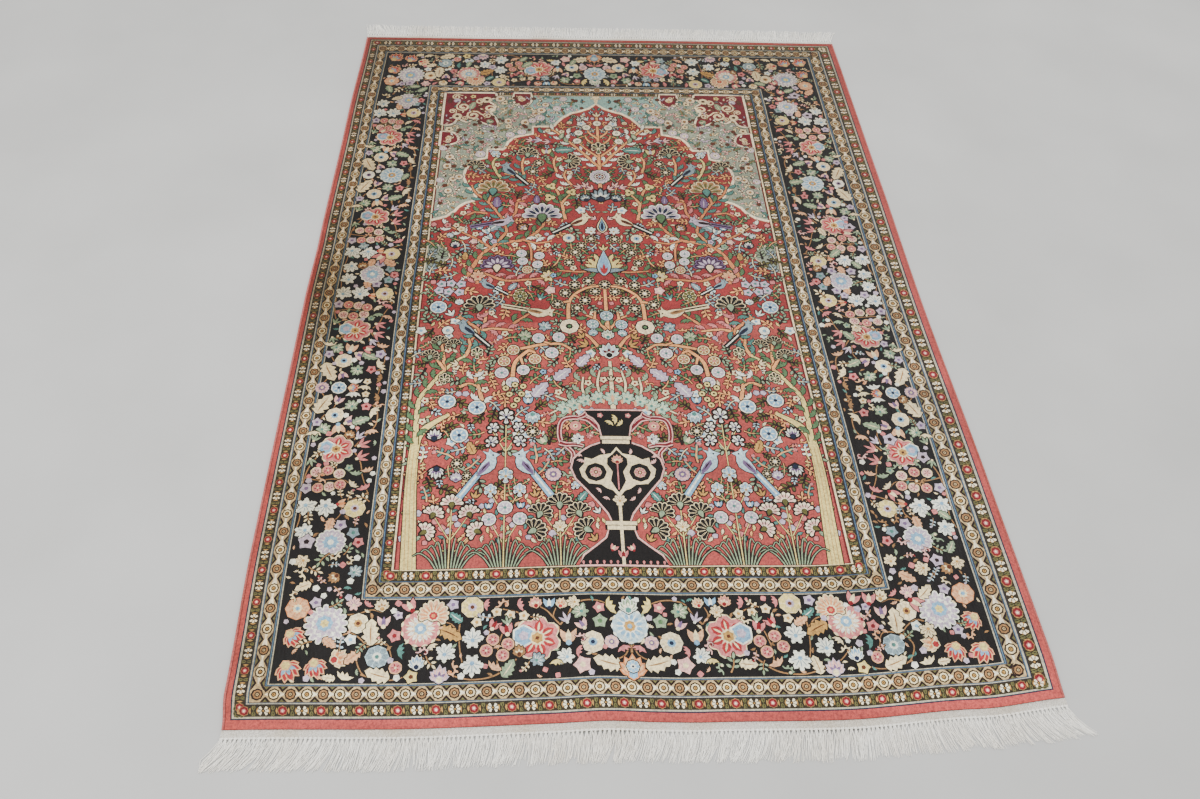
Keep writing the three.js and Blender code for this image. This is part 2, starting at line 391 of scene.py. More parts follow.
def tulip(pen, edge, petal, inner, heart):
    """Bud that opens along +x."""
    ring(pen.at(-0.7), (-28, 28), (petal, blade(POINTED, 0, 1.7, 0.7)))
    pen.at(-0.7).fill(inner, blade(POINTED, 0, 1.45, 0.6))
    pen.at(-0.6).fill(heart, 0.3 * lobed(6, 0, 1))


def clover(pen, edge, petal, inner, heart):
    for turn in (0, 120, 240):
        pen.at(turn=turn).at(0.5, size=0.5).fill(petal, lobed(6, 0.08, 2))
    pen.fill(heart, 0.26 * lobed(5, 0, 1))


def fan(pen, edge, petal, inner, heart):
    """Large palmette with rays, open along +x."""
    for turn in np.linspace(-110, 110, 11):
        p = pen.at(-0.35, turn=turn)
        p.fill(edge, blade(SPATULA, 0.1, 1.3 - abs(turn) * 0.003, 0.42))
        p.fill(petal, blade(SPATULA, 0.15, 1.2 - abs(turn) * 0.003, 0.3))
        p.fill(inner, blade(POINTED, 0.3, 0.95, 0.09))
    pen.at(-0.3).fill(edge, 0.42 * lobed(8, 0.15, 3))
    pen.at(-0.3).fill(heart, 0.32 * lobed(8, 0.15, 2))
    pen.at(-0.3).fill(inner, 0.15 * lobed(6, 0, 1))


def disc(pen, edge, petal, inner, heart):
    pen.fill(edge, lobed(10, 0.05, 2))
    pen.fill(petal, 0.84 * lobed(10, 0.05, 2))
    ring(pen, spread(6), (inner, blade(POINTED, 0.22, 0.74, 0.2)))
    pen.fill(heart, 0.24 * lobed(6, 0.2, 2))


def carnation(pen, edge, petal, inner, heart):
    """Fan of petals on a green cup, open along +x, with a drop in each petal."""
    petals = [pen.at(-0.35, turn=turn) for turn in (-84, 84, -56, 56, -28, 28, 0)]
    for p in petals:
        p.fill(edge, blade(SPATULA, 0.2, 1.36, 0.56))
    for p in petals:
        p.fill(petal, blade(SPATULA, 0.24, 1.27, 0.44))
        if inner != petal:
            p.fill(inner, blade(POINTED, 0.45, 1.1, 0.26))
    pen.at(-0.62).fill("umber", blade(ROUND, -0.36, 0.62, 0.8))
    pen.at(-0.6).fill(heart, blade(ROUND, -0.3, 0.54, 0.62))


def iris(pen, edge, petal, inner, heart):
    for turn, length in ((-100, 0.8), (100, 0.8), (-42, 1.0), (42, 1.0), (180, 0.9), (0, 1.15)):
        pen.at(turn=turn).fill(edge, blade(SPATULA, 0, length, 0.66))
        pen.at(turn=turn).fill(petal, blade(SPATULA, 0.1, length - 0.12, 0.44))
    ring(pen, (-42, 42, 180), (inner, blade(POINTED, 0.1, 0.7, 0.16)))
    pen.fill(heart, 0.2 * lobed(5, 0, 1))


def twig(pen, edge, petal, inner, heart):
    """Bent stem along +x with leaves on both sides, in one outline, and a bud."""
    pen.fill(petal, TWIG)
    pen.fill(edge, ribbon(np.array([-0.96 - 0.28j, -0.4 + 0.02j, 0.3 + 0.12j, 0.6 + 0.2j]), 0.16, 0.1))
    pen.at(0.84 + 0.08j, size=0.22).fill(inner, lobed(5, 0.25, 2))


def scroll(pen, edge, petal, inner, heart):
    """Vine that ends in a curl, with leaves on its outer side."""
    pen.fill(petal, SCROLL)
    pen.at(0.52 - 0.12j, size=0.24).fill(inner, lobed(5, 0.25, 2))


def bird(pen, edge, petal, inner, heart):
    """Perched bird looking along -x, its long striped tail behind and below it."""
    tail = points_of(BIRD_TAIL)
    pen.fill("umber", grown(tail, 0.035))
    pen.fill(heart, tail)
    pen.fill(inner, points_of(((0.42, -0.28), (1.38, -0.92), (1.42, -0.86), (0.46, -0.2))))
    pen.fill("umber", grown(points_of(BIRD_BODY), 0.04))
    pen.fill(petal, points_of(BIRD_BODY))
    pen.fill(edge, points_of(BIRD_WING))
    pen.fill("umber", points_of(((-0.08, 0.06), (0.14, -0.02), (0.34, -0.2), (0.12, -0.08))))
    pen.at(-0.36 + 0.33j).fill("night", 0.05 * lobed(4, 0, 1))


def spray(pen, edge, petal, inner, heart):
    """Bent stem with pairs of pointed leaves and one at its tip."""
    pen.fill(edge, ribbon(smooth(((-1, 0.1), (-0.3, -0.06), (0.4, 0.02)), 3), 0.14, 0.1))
    for x, y, turn, length in ((0.3, 0.02, 6, 0.72), (0.06, 0.08, 62, 0.62), (0.02, -0.1, -52, 0.66),
                               (-0.5, 0.1, 70, 0.56), (-0.46, -0.1, -60, 0.56)):
        pen.at(complex(x, y), turn).fill(petal, blade(POINTED, 0, length, 0.3))


KINDS = {kind.__name__: kind for kind in (
    spray, carnation, iris, twig, scroll, bird, bud, rosette, peony, ragged, daisy, bloom, berry, star,
    lotus, cluster, leaf, curl, sprig, tulip, clover, fan, disc,
)}

# Yarn colours, as displayed red, green and blue from 0 to 255
YARNS = {
    "night": (24, 20, 20), "navy": (34, 42, 66), "cream": (218, 204, 168), "ivory": (230, 220, 196),
    "white": (218, 220, 210), "sky": (132, 168, 194), "pale_blue": (172, 192, 200),
    "grey_blue": (132, 150, 158), "lavender": (180, 168, 184), "violet": (118, 98, 132),
    "rose": (192, 124, 124), "red": (160, 56, 60), "crimson": (122, 32, 40), "peach": (206, 164, 130),
    "orange": (196, 134, 92), "gold": (178, 142, 84), "yellow": (208, 192, 130), "olive": (96, 94, 54),
    "green": (88, 116, 84), "sage": (138, 156, 130), "teal": (84, 128, 122), "tan": (150, 116, 80),
    "brown": (92, 54, 36), "maroon": (98, 32, 36), "field": (144, 60, 60), "margin": (172, 84, 80),
    "guard": (54, 46, 32), "blush": (214, 172, 166), "umber": (38, 22, 20), "wine": (112, 34, 46),
    "field_low": (160, 80, 76), "oat": (178, 158, 122), "moss": (104, 102, 66), "mist": (142, 152, 138),
    "turquoise": (140, 172, 168), "plum": (66, 40, 66), "line_pale": (172, 168, 152),
    "line_blue": (90, 114, 134), "seafoam": (162, 188, 170), "bark": (214, 158, 108),
}

# Palettes by name: (edge, petal, inner, heart)
PALETTES = {name: yarns.split() for name, yarns in {
    "red_peony": "cream rose red gold", "blue_gold": "white pale_blue sky gold",
    "pink_star": "cream rose white sky", "lav_ragged": "white lavender sky yellow",
    "lav_star": "white lavender sky white", "cream_blue": "ivory cream sky navy",
    "cream_gold": "ivory cream gold brown", "white_teal": "white ivory teal cream",
    "white_dark": "ivory white violet night", "grey_blue": "pale_blue grey_blue white teal",
    "berry": "peach rose crimson cream", "berry_pale": "cream blush brown rose",
    "peach": "cream peach orange red", "orange": "orange peach cream sky",
    "red_lotus": "peach red sky yellow", "lav": "lavender lavender white violet",
    "lav_pink": "lavender blush violet cream", "pink": "peach rose cream crimson",
    "yellow": "cream yellow lavender brown", "gold": "yellow gold brown cream",
    "white": "white white grey_blue sky", "green_white": "white sage ivory teal",
    "sage": "sage sage cream green", "cream": "cream cream tan gold", "tan": "tan tan cream brown",
    "peach_leaf": "peach peach orange cream", "teal": "teal teal white sage",
    "blue": "white sky white navy", "dark_daisy": "cream night cream white",
    "dark_carnation": "cream night night sage", "white_carnation": "umber ivory blush olive",
    "white_iris": "umber white violet navy", "blue_iris": "white sky white gold",
    "cream_bird": "brown cream white night", "grey_bird": "navy grey_blue white night",
    "lav_bird": "violet pale_blue white sky", "white_bird": "tan cream night cream",
    "violet_bird": "umber lavender night violet", "lav_disc": "white lavender white teal",
    "beige_disc": "cream tan cream rose", "vase_rosette": "cream rose maroon cream",
    "corner_ring": "cream cream umber brown", "white_brown": "ivory lavender ivory umber",
    "bark_flower": "peach cream rose crimson", "blush_leaf": "blush blush maroon rose",
    "dark_iris": "cream night green cream", "plum": "white maroon white sky",
    "lav_carnation": "white lavender navy green", "cream_carnation": "cream tan olive teal",
    "purple_carnation": "violet plum lavender cream", "violet_leaf": "violet violet lavender white",
    "yellow_dark": "yellow yellow night night", "tan_lotus": "umber tan lavender cream",
    "green_dark": "cream olive night sage", "cream_dark": "ivory cream night green",
    "pale_lotus": "white pale_blue maroon night", "gold_dark": "gold gold night cream",
    "lav_leaf": "lavender lavender white umber", "seafoam": "umber seafoam cream teal",
    "spiky": "umber grey_blue white navy", "thistle": "cream sage teal green",
    "seed": "yellow yellow night night", "bark_vine": "bark bark rose gold",
    "bark_yellow": "bark yellow crimson gold", "spandrel_pale": "brown ivory rose gold",
    "spandrel_twig": "tan green rose gold", "spandrel_daisy": "lavender cream brown gold",
    "spandrel_leaf": "teal teal cream white", "brown_bud": "brown brown brown cream",
    "vine_cream": "tan cream rose cream", "vine_pink": "tan blush crimson cream",
    "vine_white": "tan pale_blue lavender cream", "bark": "bark green cream gold",
    "vine_leaf": "tan sage cream gold", "leaf_cream": "tan cream cream gold",
    "leaf_green": "bark green cream gold", "leaf_olive": "umber olive cream gold",
    "leaf_sage": "umber sage cream gold", "leaf_bark": "bark bark cream gold",
    "leaf_teal": "cream grey_blue cream gold", "leaf_pale": "umber pale_blue cream gold",
    "bark_teal": "bark teal rose gold", "bark_pink": "orange rose white gold",
    "bark_white": "yellow white sky gold",
}.items()}


def stamp(pen, kind, palette, size, turn=0.0, z=0j, claim=True, rim=0.0, dark="umber"):
    """Draws one motif, with a dark line of that width round its larger outlines."""
    p = pen.at(z, turn, size)
    if claim:
        p.claim()
    first = len(shapes)
    KINDS[kind](p, *PALETTES[palette])
    if rim:
        drawn = shapes[first:]
        least = 0.5 if kind == "spray" else 1.25
        large = [o for _, o in drawn if np.ptp(o.real) + np.ptp(o.imag) > least * size]
        shapes[first:] = [(dark, grown(o, rim)) for o in large] + drawn


BORDER_GROWTH = 1.12


class Lane:
    """A strip of border: s millimetres along it from its start, t millimetres in from its outer line."""

    def __init__(self, start, along, mirrored, stretch_s=1.0, stretch_t=1.0):
        self.start, self.along, self.mirrored = complex(start), complex(along), mirrored
        self.inward = self.along * (-1j if mirrored else 1j)
        self.stretch_s, self.stretch_t = stretch_s, stretch_t

    def place(self, s, t):
        return self.start + self.along * s * self.stretch_s + self.inward * t * self.stretch_t

    def pen(self, s, t):
        return Pen(self.place(s, t), self.along, self.mirrored)

    def draw(self, rows):
        for kind, s, t, size, turn, palette in rows:
            stamp(self.pen(s, t), kind, palette, BORDER_GROWTH * size, turn, rim=1.6, dark="night")

    def vines(self, rows):
        for colour, width, points in rows:
            path = smooth([complex(self.place(s, t)) for s, t in points])
            shapes.append((colour, ribbon(path, 1.5 * width, width)))


# Bands from the outside in: (name, yarn, widths on the left, right, near and far sides)
BANDS = (
    ("margin", "margin", 12, 15.5, 12.5, 12.5),
    ("line", "navy", 2, 2.3, 2, 2),
    ("pale line", "line_pale", 3, 4, 2.5, 3.5),
    ("outer floral guard", "guard", 15.3, 21.5, 17, 19.5),
    ("stripe", "navy", 1.2, 1.6, 1.0, 1.2),
    ("stripe", "line_pale", 2.0, 2.8, 1.2, 1.6),
    ("stripe", "line_blue", 1.2, 1.6, 0.8, 0.9),
    ("stripe", "navy", 1.1, 1.5, 0.8, 0.9),
    ("outer rosette guard", "oat", 18.8, 24.4, 23, 24.5),
    ("stripe", "navy", 1.4, 1.8, 0.9, 1.5),
    ("stripe", "line_blue", 1.6, 2.2, 1.0, 1.8),
    ("stripe", "navy", 1.2, 1.6, 0.8, 1.3),
    ("stripe", "line_pale", 1.8, 2.4, 1.3, 1.9),
    ("main border", "night", 121, 143.5, 133, 140),
    ("stripe", "line_pale", 1.6, 1.9, 1.5, 1.6),
    ("stripe", "navy", 1.2, 1.4, 1.0, 1.2),
    ("stripe", "line_blue", 1.6, 1.8, 1.5, 1.5),
    ("stripe", "navy", 1.1, 1.4, 1.0, 1.2),
    ("inner rosette guard", "oat", 17.5, 19.5, 24, 17.5),
    ("stripe", "navy", 1.5, 1.7, 0.8, 1.0),
    ("stripe", "line_blue", 1.5, 1.7, 0.7, 1.0),
    ("stripe", "navy", 1.5, 1.6, 0.8, 1.0),
    ("inner floral guard", "guard", 14.5, 17, 18, 12.5),
    ("stripe", "cream", 3, 3.5, 1.5, 1.3),
    ("stripe", "maroon", 3, 3.5, 1.5, 1.2),
    ("field", "field", 0, 0, 0, 0),
)


def band_frames():
    """Each band's outer rectangle as (left, right, near, far), and its widths in the same order."""
    frames = {}
    inset = np.zeros(4)
    for name, yarn, *widths in BANDS:
        left, right, near, far = inset
        box = (-RUG_WIDTH / 2 + left, RUG_WIDTH / 2 - right, -RUG_LENGTH / 2 + near, RUG_LENGTH / 2 - far)
        frames[name] = (box, widths)
        inset = inset + widths
        if not any(widths):
            shapes.append((yarn, rectangle(*box)))
            continue
        outer = rectangle(*box)
        inner = rectangle(*inset_box(box, widths))
        for i in range(4):
            k = (i + 1) % 4
            shapes.append((yarn, np.array([outer[i], outer[k], inner[k], inner[i]])))
    return frames


def inset_box(box, widths):
    return (box[0] + widths[0], box[1] - widths[1], box[2] + widths[2], box[3] - widths[3])


def rectangle(left, right, near, far):
    return np.array([complex(left, near), complex(right, near), complex(right, far), complex(left, far)])


def side_lanes(box):
    """A lane from the middle of each side of a rectangle: (lane, half its length, index of the side)."""
    left, right, near, far = box
    mid_u, mid_v = (left + right) / 2, (near + far) / 2
    return (
        (Lane(complex(left, mid_v), 1j, True), (far - near) / 2, 0),
        (Lane(complex(right, mid_v), 1j, False), (far - near) / 2, 1),
        (Lane(complex(mid_u, near), 1, False), (right - left) / 2, 2),
        (Lane(complex(mid_u, far), 1, True), (right - left) / 2, 3),
    )


def guard_rosette(pen, along, across, brown, linked):
    """Round flower in a dark ring, with lens-shaped links towards its neighbours."""
    if linked:
        pen.fill("ivory", across * blade(ROUND, -1.28 * along / across, 1.28 * along / across, 0.8))
    size = min(along * 0.86, across * 0.84)
    stretch = (0.62 + 0.3 * along / across) if along > across else 1
    flower = lobed(8, 0.1, 2)
    flower = flower.real * stretch + 1j * flower.imag
    pen.fill("umber", 1.06 * size * flower)
    pen.fill("tan" if brown else "cream", 0.8 * size * flower)
    pen.fill("umber", 0.48 * size * flower)
    pen.fill("oat" if brown else "gold", 0.3 * size * lobed(5, 0.1, 1))
    pen.fill("umber", 0.13 * size * lobed(4, 0, 1))


def rosette_guard(box, widths, pitches):
    for lane, half, index in side_lanes(box):
        width = widths[index]
        corner = widths[2] if index < 2 else (widths[0] + widths[1]) / 2
        count = 2 * round((half - corner / 2) / pitches[index // 2])
        step = 2 * (half - corner / 2) / count
        for i in range(count + 1):
            s = (i - count / 2) * step
            guard_rosette(lane.pen(s, width / 2), step * 0.42, width * 0.5, i % 2 == 0, 0 < i < count)
            if i == count:
                continue
            knot = lane.pen(s + step / 2, width / 2)
            for side in (1, -1):
                wedge = np.array([-0.34 * step + 0.49j * width, 0.34 * step + 0.49j * width, 0.12j * width])
                knot.fill("umber", wedge if side > 0 else wedge.conjugate())
                leaf_part = 0.42 * wedge + 0.26j * width
                knot.fill("moss", leaf_part if side > 0 else leaf_part.conjugate())


def floral_guard(box, widths, pitch):
    for lane, half, index in side_lanes(box):
        width = widths[index]
        count = 2 * round(half / pitch)
        step = 2 * half / count
        for i in range(count):
            s = (i + 0.5) * step - half
            pen = lane.pen(s, width / 2).at(size=width / 2)
            reach = step / width
            for side in (1, -1):
                for turn in (90, -90):
                    arc = pen.at(complex(side * 0.98 * reach, 0), turn=turn)
                    arc.fill("moss", blade(POINTED, 0.06, 0.94, 0.5, 0.2 * side * turn / 90))
                    arc.fill("umber", blade(POINTED, 0.2, 0.74, 0.16, 0.2 * side * turn / 90))
                pen.at(complex(side * 0.62 * reach, 0)).fill("gold", blade(ROUND, -0.14, 0.14, 1.1))
            if i % 2 == 0:
                pen.fill("tan", 0.92 * lobed(8, 0.14, 2))
                pen.fill("crimson", 0.8 * lobed(8, 0.14, 2))
                pen.fill("rose", 0.42 * lobed(5, 0.2, 1))
                pen.fill("ivory", 0.22 * lobed(4, 0, 1))
            else:
                ring(pen, (45, 135, 225, 315, 0, 180), ("ivory", blade(SPATULA, 0.16, 0.92, 0.5)))
                pen.fill("umber", 0.36 * lobed(6, 0, 1))
                pen.fill("gold", 0.18 * lobed(4, 0, 1))


# Half of the near border: (kind, millimetres from the axis, millimetres in, radius, turn, palette)
END_BORDER = (
    ("rosette", 0, 80, 26, 0, "blue_gold"), ("lotus", 0, 108, 17, 90, "green_white"),
    ("curl", 26, 113, 14, 60, "yellow"), ("lotus", 0, 6, 24, 90, "orange"), ("daisy", 0, 16, 9, 0, "blue"),
    ("curl", 12, 43, 10, 150, "pink"), ("daisy", 59, 54, 16, 0, "cream_blue"),
    ("bloom", 46, 88, 11, 20, "sage"), ("cluster", 74, 105, 14, 30, "green_white"),
    ("bloom", 46, 111, 9, 0, "berry"), ("tulip", 74, 83, 10, 60, "lav_pink"),
    ("leaf", 39, 20, 19, 8, "cream"), ("daisy", 30, 54, 10, 0, "lav_pink"),
    ("bloom", 76, 19, 13, 0, "lav_pink"), ("curl", 80, 40, 9, 100, "pink"),
    ("cluster", 99, 32, 14, 30, "white"), ("curl", 116, 24, 9, 170, "yellow"),
    ("tulip", 96, 64, 14, 90, "orange"), ("sprig", 99, 94, 12, 70, "lav"),
    ("lotus", 106, 116, 11, 110, "peach"), ("tulip", 124, 120, 10, 90, "blue"),
    ("lotus", 145, 118, 12, 80, "pink"), ("peony", 144, 64, 33, 150, "red_peony"),
    ("curl", 168, 119, 10, 70, "pink"), ("bloom", 185, 103, 8, 0, "cream"),
    ("bloom", 164, 101, 8, 30, "cream"), ("bloom", 206, 109, 8, 10, "cream"),
    ("tulip", 210, 87, 10, 120, "berry"), ("tulip", 191, 79, 11, 80, "berry"),
    ("berry", 212, 64, 9, 0, "berry"), ("berry", 189, 56, 9, 0, "berry"), ("berry", 222, 47, 9, 0, "berry"),
    ("berry", 197, 39, 9, 0, "berry"), ("curl", 207, 22, 12, 20, "peach_leaf"),
    ("sprig", 190, 93, 10, 80, "green_white"), ("cluster", 243, 64, 17, 90, "white"),
    ("cluster", 243, 28, 18, -90, "white"), ("daisy", 244, 118, 16, 22, "yellow"),
    ("bloom", 237, 93, 8, 0, "cream"), ("curl", 221, 121, 9, 90, "pink"),
    ("leaf", 276, 77, 17, 200, "gold"), ("cluster", 285, 43, 16, 120, "white"),
    ("leaf", 270, 101, 11, 30, "teal"), ("lotus", 291, 6, 17, 90, "lav_pink"),
    ("curl", 305, 54, 9, 130, "cream"), ("lotus", 326, 26, 14, 90, "blue"),
    ("bloom", 333, 10, 10, 0, "yellow"), ("rosette", 323, 85, 27, 15, "pink_star"),
    ("fan", 303, 112, 20, 100, "peach"), ("tulip", 341, 122, 12, 60, "pink"),
    ("bloom", 274, 123, 9, 0, "lav"), ("tulip", 380, 96, 11, 90, "lav_pink"),
    ("bloom", 362, 74, 10, 0, "pink"), ("bloom", 358, 107, 7, 0, "lav"),
    ("daisy", 419, 94, 15, 0, "cream_gold"), ("leaf", 400, 80, 19, 80, "cream"),
    ("bloom", 428, 68, 9, 0, "white"), ("daisy", 386, 41, 16, 0, "grey_blue"),
    ("lotus", 448, 37, 18, 160, "peach"), ("berry", 357, 24, 9, 0, "berry"),
    ("leaf", 384, 12, 17, 10, "cream"), ("curl", 430, 12, 12, 10, "cream"),
    ("curl", 350, 49, 11, 80, "teal"), ("lotus", 384, 119, 13, 80, "cream"),
    ("curl", 405, 126, 8, 30, "pink"), ("cluster", 428, 124, 12, 90, "lav_pink"),
    ("ragged", 468, 92, 30, 40, "lav_ragged"), ("daisy", 514, 118, 17, 0, "orange"),
    ("lotus", 519, 76, 20, -140, "red_lotus"), ("lotus", 519, 26, 22, -120, "red_lotus"),
    ("lotus", 478, 30, 20, -110, "red_lotus"), ("bloom", 487, 128, 9, 0, "lav"),
    ("leaf", 455, 8, 9, 0, "cream"),
)
END_VINES = (
    ("tan", 1.6, ((0, 50), (-1, 30), (0, 18))), ("tan", 1.6, ((2, 52), (10, 34), (28, 24))),
    ("tan", 1.8, ((108, 84), (96, 98), (84, 118), (60, 124), (36, 118), (24, 104))),
    ("tan", 1.5, ((108, 84), (118, 98), (114, 112))), ("tan", 1.6, ((118, 96), (128, 108), (140, 116))),
    ("tan", 1.6, ((176, 32), (206, 9), (240, 3), (268, 9), (300, 22), (322, 44))),
    ("tan", 1.4, ((205, 26), (204, 50), (198, 72), (190, 90))),
    ("tan", 1.4, ((204, 50), (214, 60), (218, 80))),
    ("tan", 1.6, ((262, 100), (264, 76), (262, 50), (258, 30))),
    ("tan", 1.6, ((264, 76), (278, 92), (300, 96))),
    ("tan", 1.6, ((456, 112), (440, 108), (420, 110), (400, 116), (384, 112))),
    ("tan", 1.6, ((452, 112), (448, 126), (446, 132))),
    ("tan", 1.6, ((444, 74), (428, 78), (410, 66), (404, 54))),
    ("tan", 1.6, ((406, 56), (416, 38), (408, 18), (398, 10))),
    ("tan", 1.5, ((404, 56), (386, 62), (372, 60), (364, 40))),
    ("tan", 1.5, ((408, 14), (380, 6), (356, 6), (340, 12))),
    ("tan", 1.5, ((164, 100), (176, 108), (192, 112), (210, 116))),
)

# Half units of the side borders, from a peony towards the middle of the next motif
LEAF_UNIT = (
    ("tulip", 46, 45, 13, 170, "orange"), ("cluster", 44, 17, 13, 60, "green_white"),
    ("curl", 33, 3, 12, 80, "cream"), ("bloom", 60, 6, 9, 0, "lav"), ("tulip", 62, 62, 11, 60, "lav_pink"),
    ("leaf", 66, 82, 14, 60, "sage"), ("daisy", 76, 35, 15, 0, "cream_blue"),
    ("cluster", 97, 63, 13, -30, "green_white"), ("bloom", 97, 88, 9, 0, "pink"),
    ("leaf", 104, 10, 21, 20, "cream"), ("tulip", 111, 37, 10, 20, "lav_pink"),
    ("curl", 38, 102, 11, 70, "peach_leaf"), ("sprig", 30, 84, 12, 40, "lav"),
    ("curl", 84, 104, 14, 20, "cream"), ("sprig", 12, 92, 15, 60, "pink"),
    ("curl", 118, 104, 10, 160, "tan"), ("bloom", 126, 84, 7, 0, "cream"), ("sprig", 24, 8, 11, 20, "sage"),
    ("curl", 124, 61, 12, 80, "white"),
)
LEAF_VINES = (
    ("tan", 1.7, ((6, 78), (28, 92), (52, 108), (78, 110), (104, 104), (141, 108))),
    ("tan", 1.4, ((20, 76), (42, 78), (58, 72))), ("tan", 1.4, ((96, 106), (100, 96), (97, 88))),
    ("tan", 1.4, ((60, 8), (78, 18), (92, 30), (104, 34))), ("tan", 1.4, ((128, 6), (112, 14), (96, 12))),
)
CLUSTER_UNIT = (
    ("berry", 43, 20, 9, 0, "berry_pale"), ("berry", 40, 39, 9, 0, "berry"),
    ("berry", 46, 59, 9, 0, "berry_pale"), ("bloom", 35, 74, 7, 0, "green_white"),
    ("curl", 44, 86, 10, 80, "sage"), ("curl", 38, 104, 10, 100, "peach_leaf"),
    ("bloom", 73, 8, 10, 0, "lav"), ("berry", 72, 27, 9, 0, "berry"), ("berry", 70, 46, 9, 0, "berry_pale"),
    ("berry", 66, 63, 9, 0, "berry"), ("curl", 64, 84, 10, 40, "cream"), ("curl", 70, 102, 11, 110, "pink"),
    ("cluster", 103, 12, 18, 30, "white"), ("cluster", 104, 45, 18, 10, "white"),
    ("tulip", 100, 70, 9, 100, "peach"), ("daisy", 108, 93, 16, 0, "yellow"),
    ("leaf", 137, 55, 12, -20, "peach_leaf"), ("bloom", 137, 74, 10, 0, "lav"),
    ("cluster", 146, 18, 16, -20, "white"), ("bloom", 150, 96, 10, 0, "grey_blue"),
    ("sprig", 14, 92, 15, 120, "pink"), ("bloom", 166, 106, 9, 0, "pink"), ("sprig", 24, 8, 11, 20, "sage"),
)
CLUSTER_VINES = (
    ("tan", 1.7, ((10, 20), (30, 8), (54, 2), (90, 1), (124, 6), (150, 2))),
    ("tan", 1.4, ((54, 2), (58, 26), (56, 50), (58, 70), (70, 82))),
    ("tan", 1.5, ((6, 80), (26, 92), (50, 98), (84, 112))),
    ("tan", 1.4, ((80, 112), (100, 76), (120, 70), (132, 60))),
)

# Stations up the sides: (place on the left, place on the right, motif, unit on its way to the next one)
SIDE_STATIONS = (
    (-592, -606, "star", "CLUSTER"), (-410, -433, "peony", "LEAF"), (-274, -300, "band", "LEAF"),
    (-134, -159, "peony", "CLUSTER"), (18, -2, "star", "CLUSTER"), (191, 169, "peony", "LEAF"),
    (331, 310, "rosette", "LEAF"), (467, 442, "peony", "CLUSTER"), (614, 600, "ragged", "CLUSTER"),
)
UNITS = {"LEAF": (LEAF_UNIT, LEAF_VINES, 141), "CLUSTER": (CLUSTER_UNIT, CLUSTER_VINES, 166)}

# Sizes that the units are drawn for, before they are stretched: half an end's length, and the widths
END_HALF = 540
END_WIDTH = 133
SIDE_WIDTH = 121


def main_border(box, widths):
    left, right, near, far = box
    for edge_v, along_v, index in ((near, 1, 2), (far, -1, 3)):
        for edge_u, side in ((left, -1), (right, 1)):
            half = abs(edge_u - AXIS)
            mirrored = side * along_v < 0
            lane = Lane(complex(AXIS, edge_v), side, mirrored, half / END_HALF, widths[index] / END_WIDTH)
            lane.vines(END_VINES)
            lane.draw(END_BORDER)
    for edge_u, side, index in ((left, -1, 0), (right, 1, 1)):
        stretch_t = widths[index] / SIDE_WIDTH
        for k, row in enumerate(SIDE_STATIONS):
            v, motif = row[index], row[2]
            spot = Lane(complex(edge_u, v), 1j, side < 0, 1, stretch_t)
            if k + 1 < len(SIDE_STATIONS):
                rows, vines, length = UNITS[row[3]]
                ahead = SIDE_STATIONS[k + 1]
                stretch = (ahead[index] - v) / length
                if motif == "peony":
                    lane = Lane(complex(edge_u, v), 1j, side < 0, stretch, stretch_t)
                else:
                    lane = Lane(complex(edge_u, ahead[index]), -1j, side > 0, stretch, stretch_t)
                lane.vines(vines)
                lane.draw(rows)
            if motif == "peony":
                stamp(spot.pen(0, 47), "peony", "red_peony", 31, 60 if k % 2 else 150)
            elif motif == "star":
                stamp(spot.pen(0, 62), "star", "lav_star", 25)
            elif motif == "rosette":
                stamp(spot.pen(0, 66), "rosette", "blue_gold", 27)
                stamp(spot.pen(0, 15), "daisy", "white_dark", 14)
            elif motif == "ragged":
                stamp(spot.pen(0, 74), "ragged", "lav_ragged", 27, 90)
            else:
                stamp(spot.pen(0, 4), "star", "lav_pink", 13)
                stamp(spot.pen(0, 34), "disc", "blue", 14)
                stamp(spot.pen(0, 56), "lotus", "red_lotus", 14, 90)
                stamp(spot.pen(0, 80), "curl", "cream", 12, 90)


def fillers(inside, count, sizes, rows, seed, spacing=1.0, rim=0.0, dark="umber"):
    """Scatters small motifs over the free places of one region."""
    random = np.random.default_rng(seed)
    cell = 24.0
    grid = {}
    for z, r in occupied:
        for i in range(int((z.real - r) // cell), int((z.real + r) // cell) + 1):
            for j in range(int((z.imag - r) // cell), int((z.imag + r) // cell) + 1):
                grid.setdefault((i, j), []).append((z, r))
    left, right, near, far = inside["box"]
    tries = random.random((count, 5))
    for a, b, c, d, e in tries:
        z = complex(left + a * (right - left), near + b * (far - near))
        r = sizes[0] + (sizes[1] - sizes[0]) * c
        if not inside["test"](z, r):
            continue
        key = (int(z.real // cell), int(z.imag // cell))
        around = [(key[0] + i, key[1] + j) for i in (-1, 0, 1) for j in (-1, 0, 1)]
        near_by = [motif for cell_key in around for motif in grid.get(cell_key, ())]
        if any(abs(z - w) < (r + s) * spacing for w, s in near_by):
            continue
        kind, palette = rows[int(d * len(rows))]
        for place, pen in inside["pens"](z):
            stamp(pen, kind, palette, r, e * 360, claim=False, rim=rim, dark=dark)
            occupied.append((place, r))
            for di in (-1, 0, 1):
                for dj in (-1, 0, 1):
                    k = (int(place.real // cell) + di, int(place.imag // cell) + dj)
                    grid.setdefault(k, []).append((place, r))


def one_pen(z):
    return ((z, Pen(z)),)


def mirrored_pens(z):
    other = complex(2 * AXIS - z.real, z.imag)
    return ((z, Pen(z)), (other, Pen(other, -1, True)))


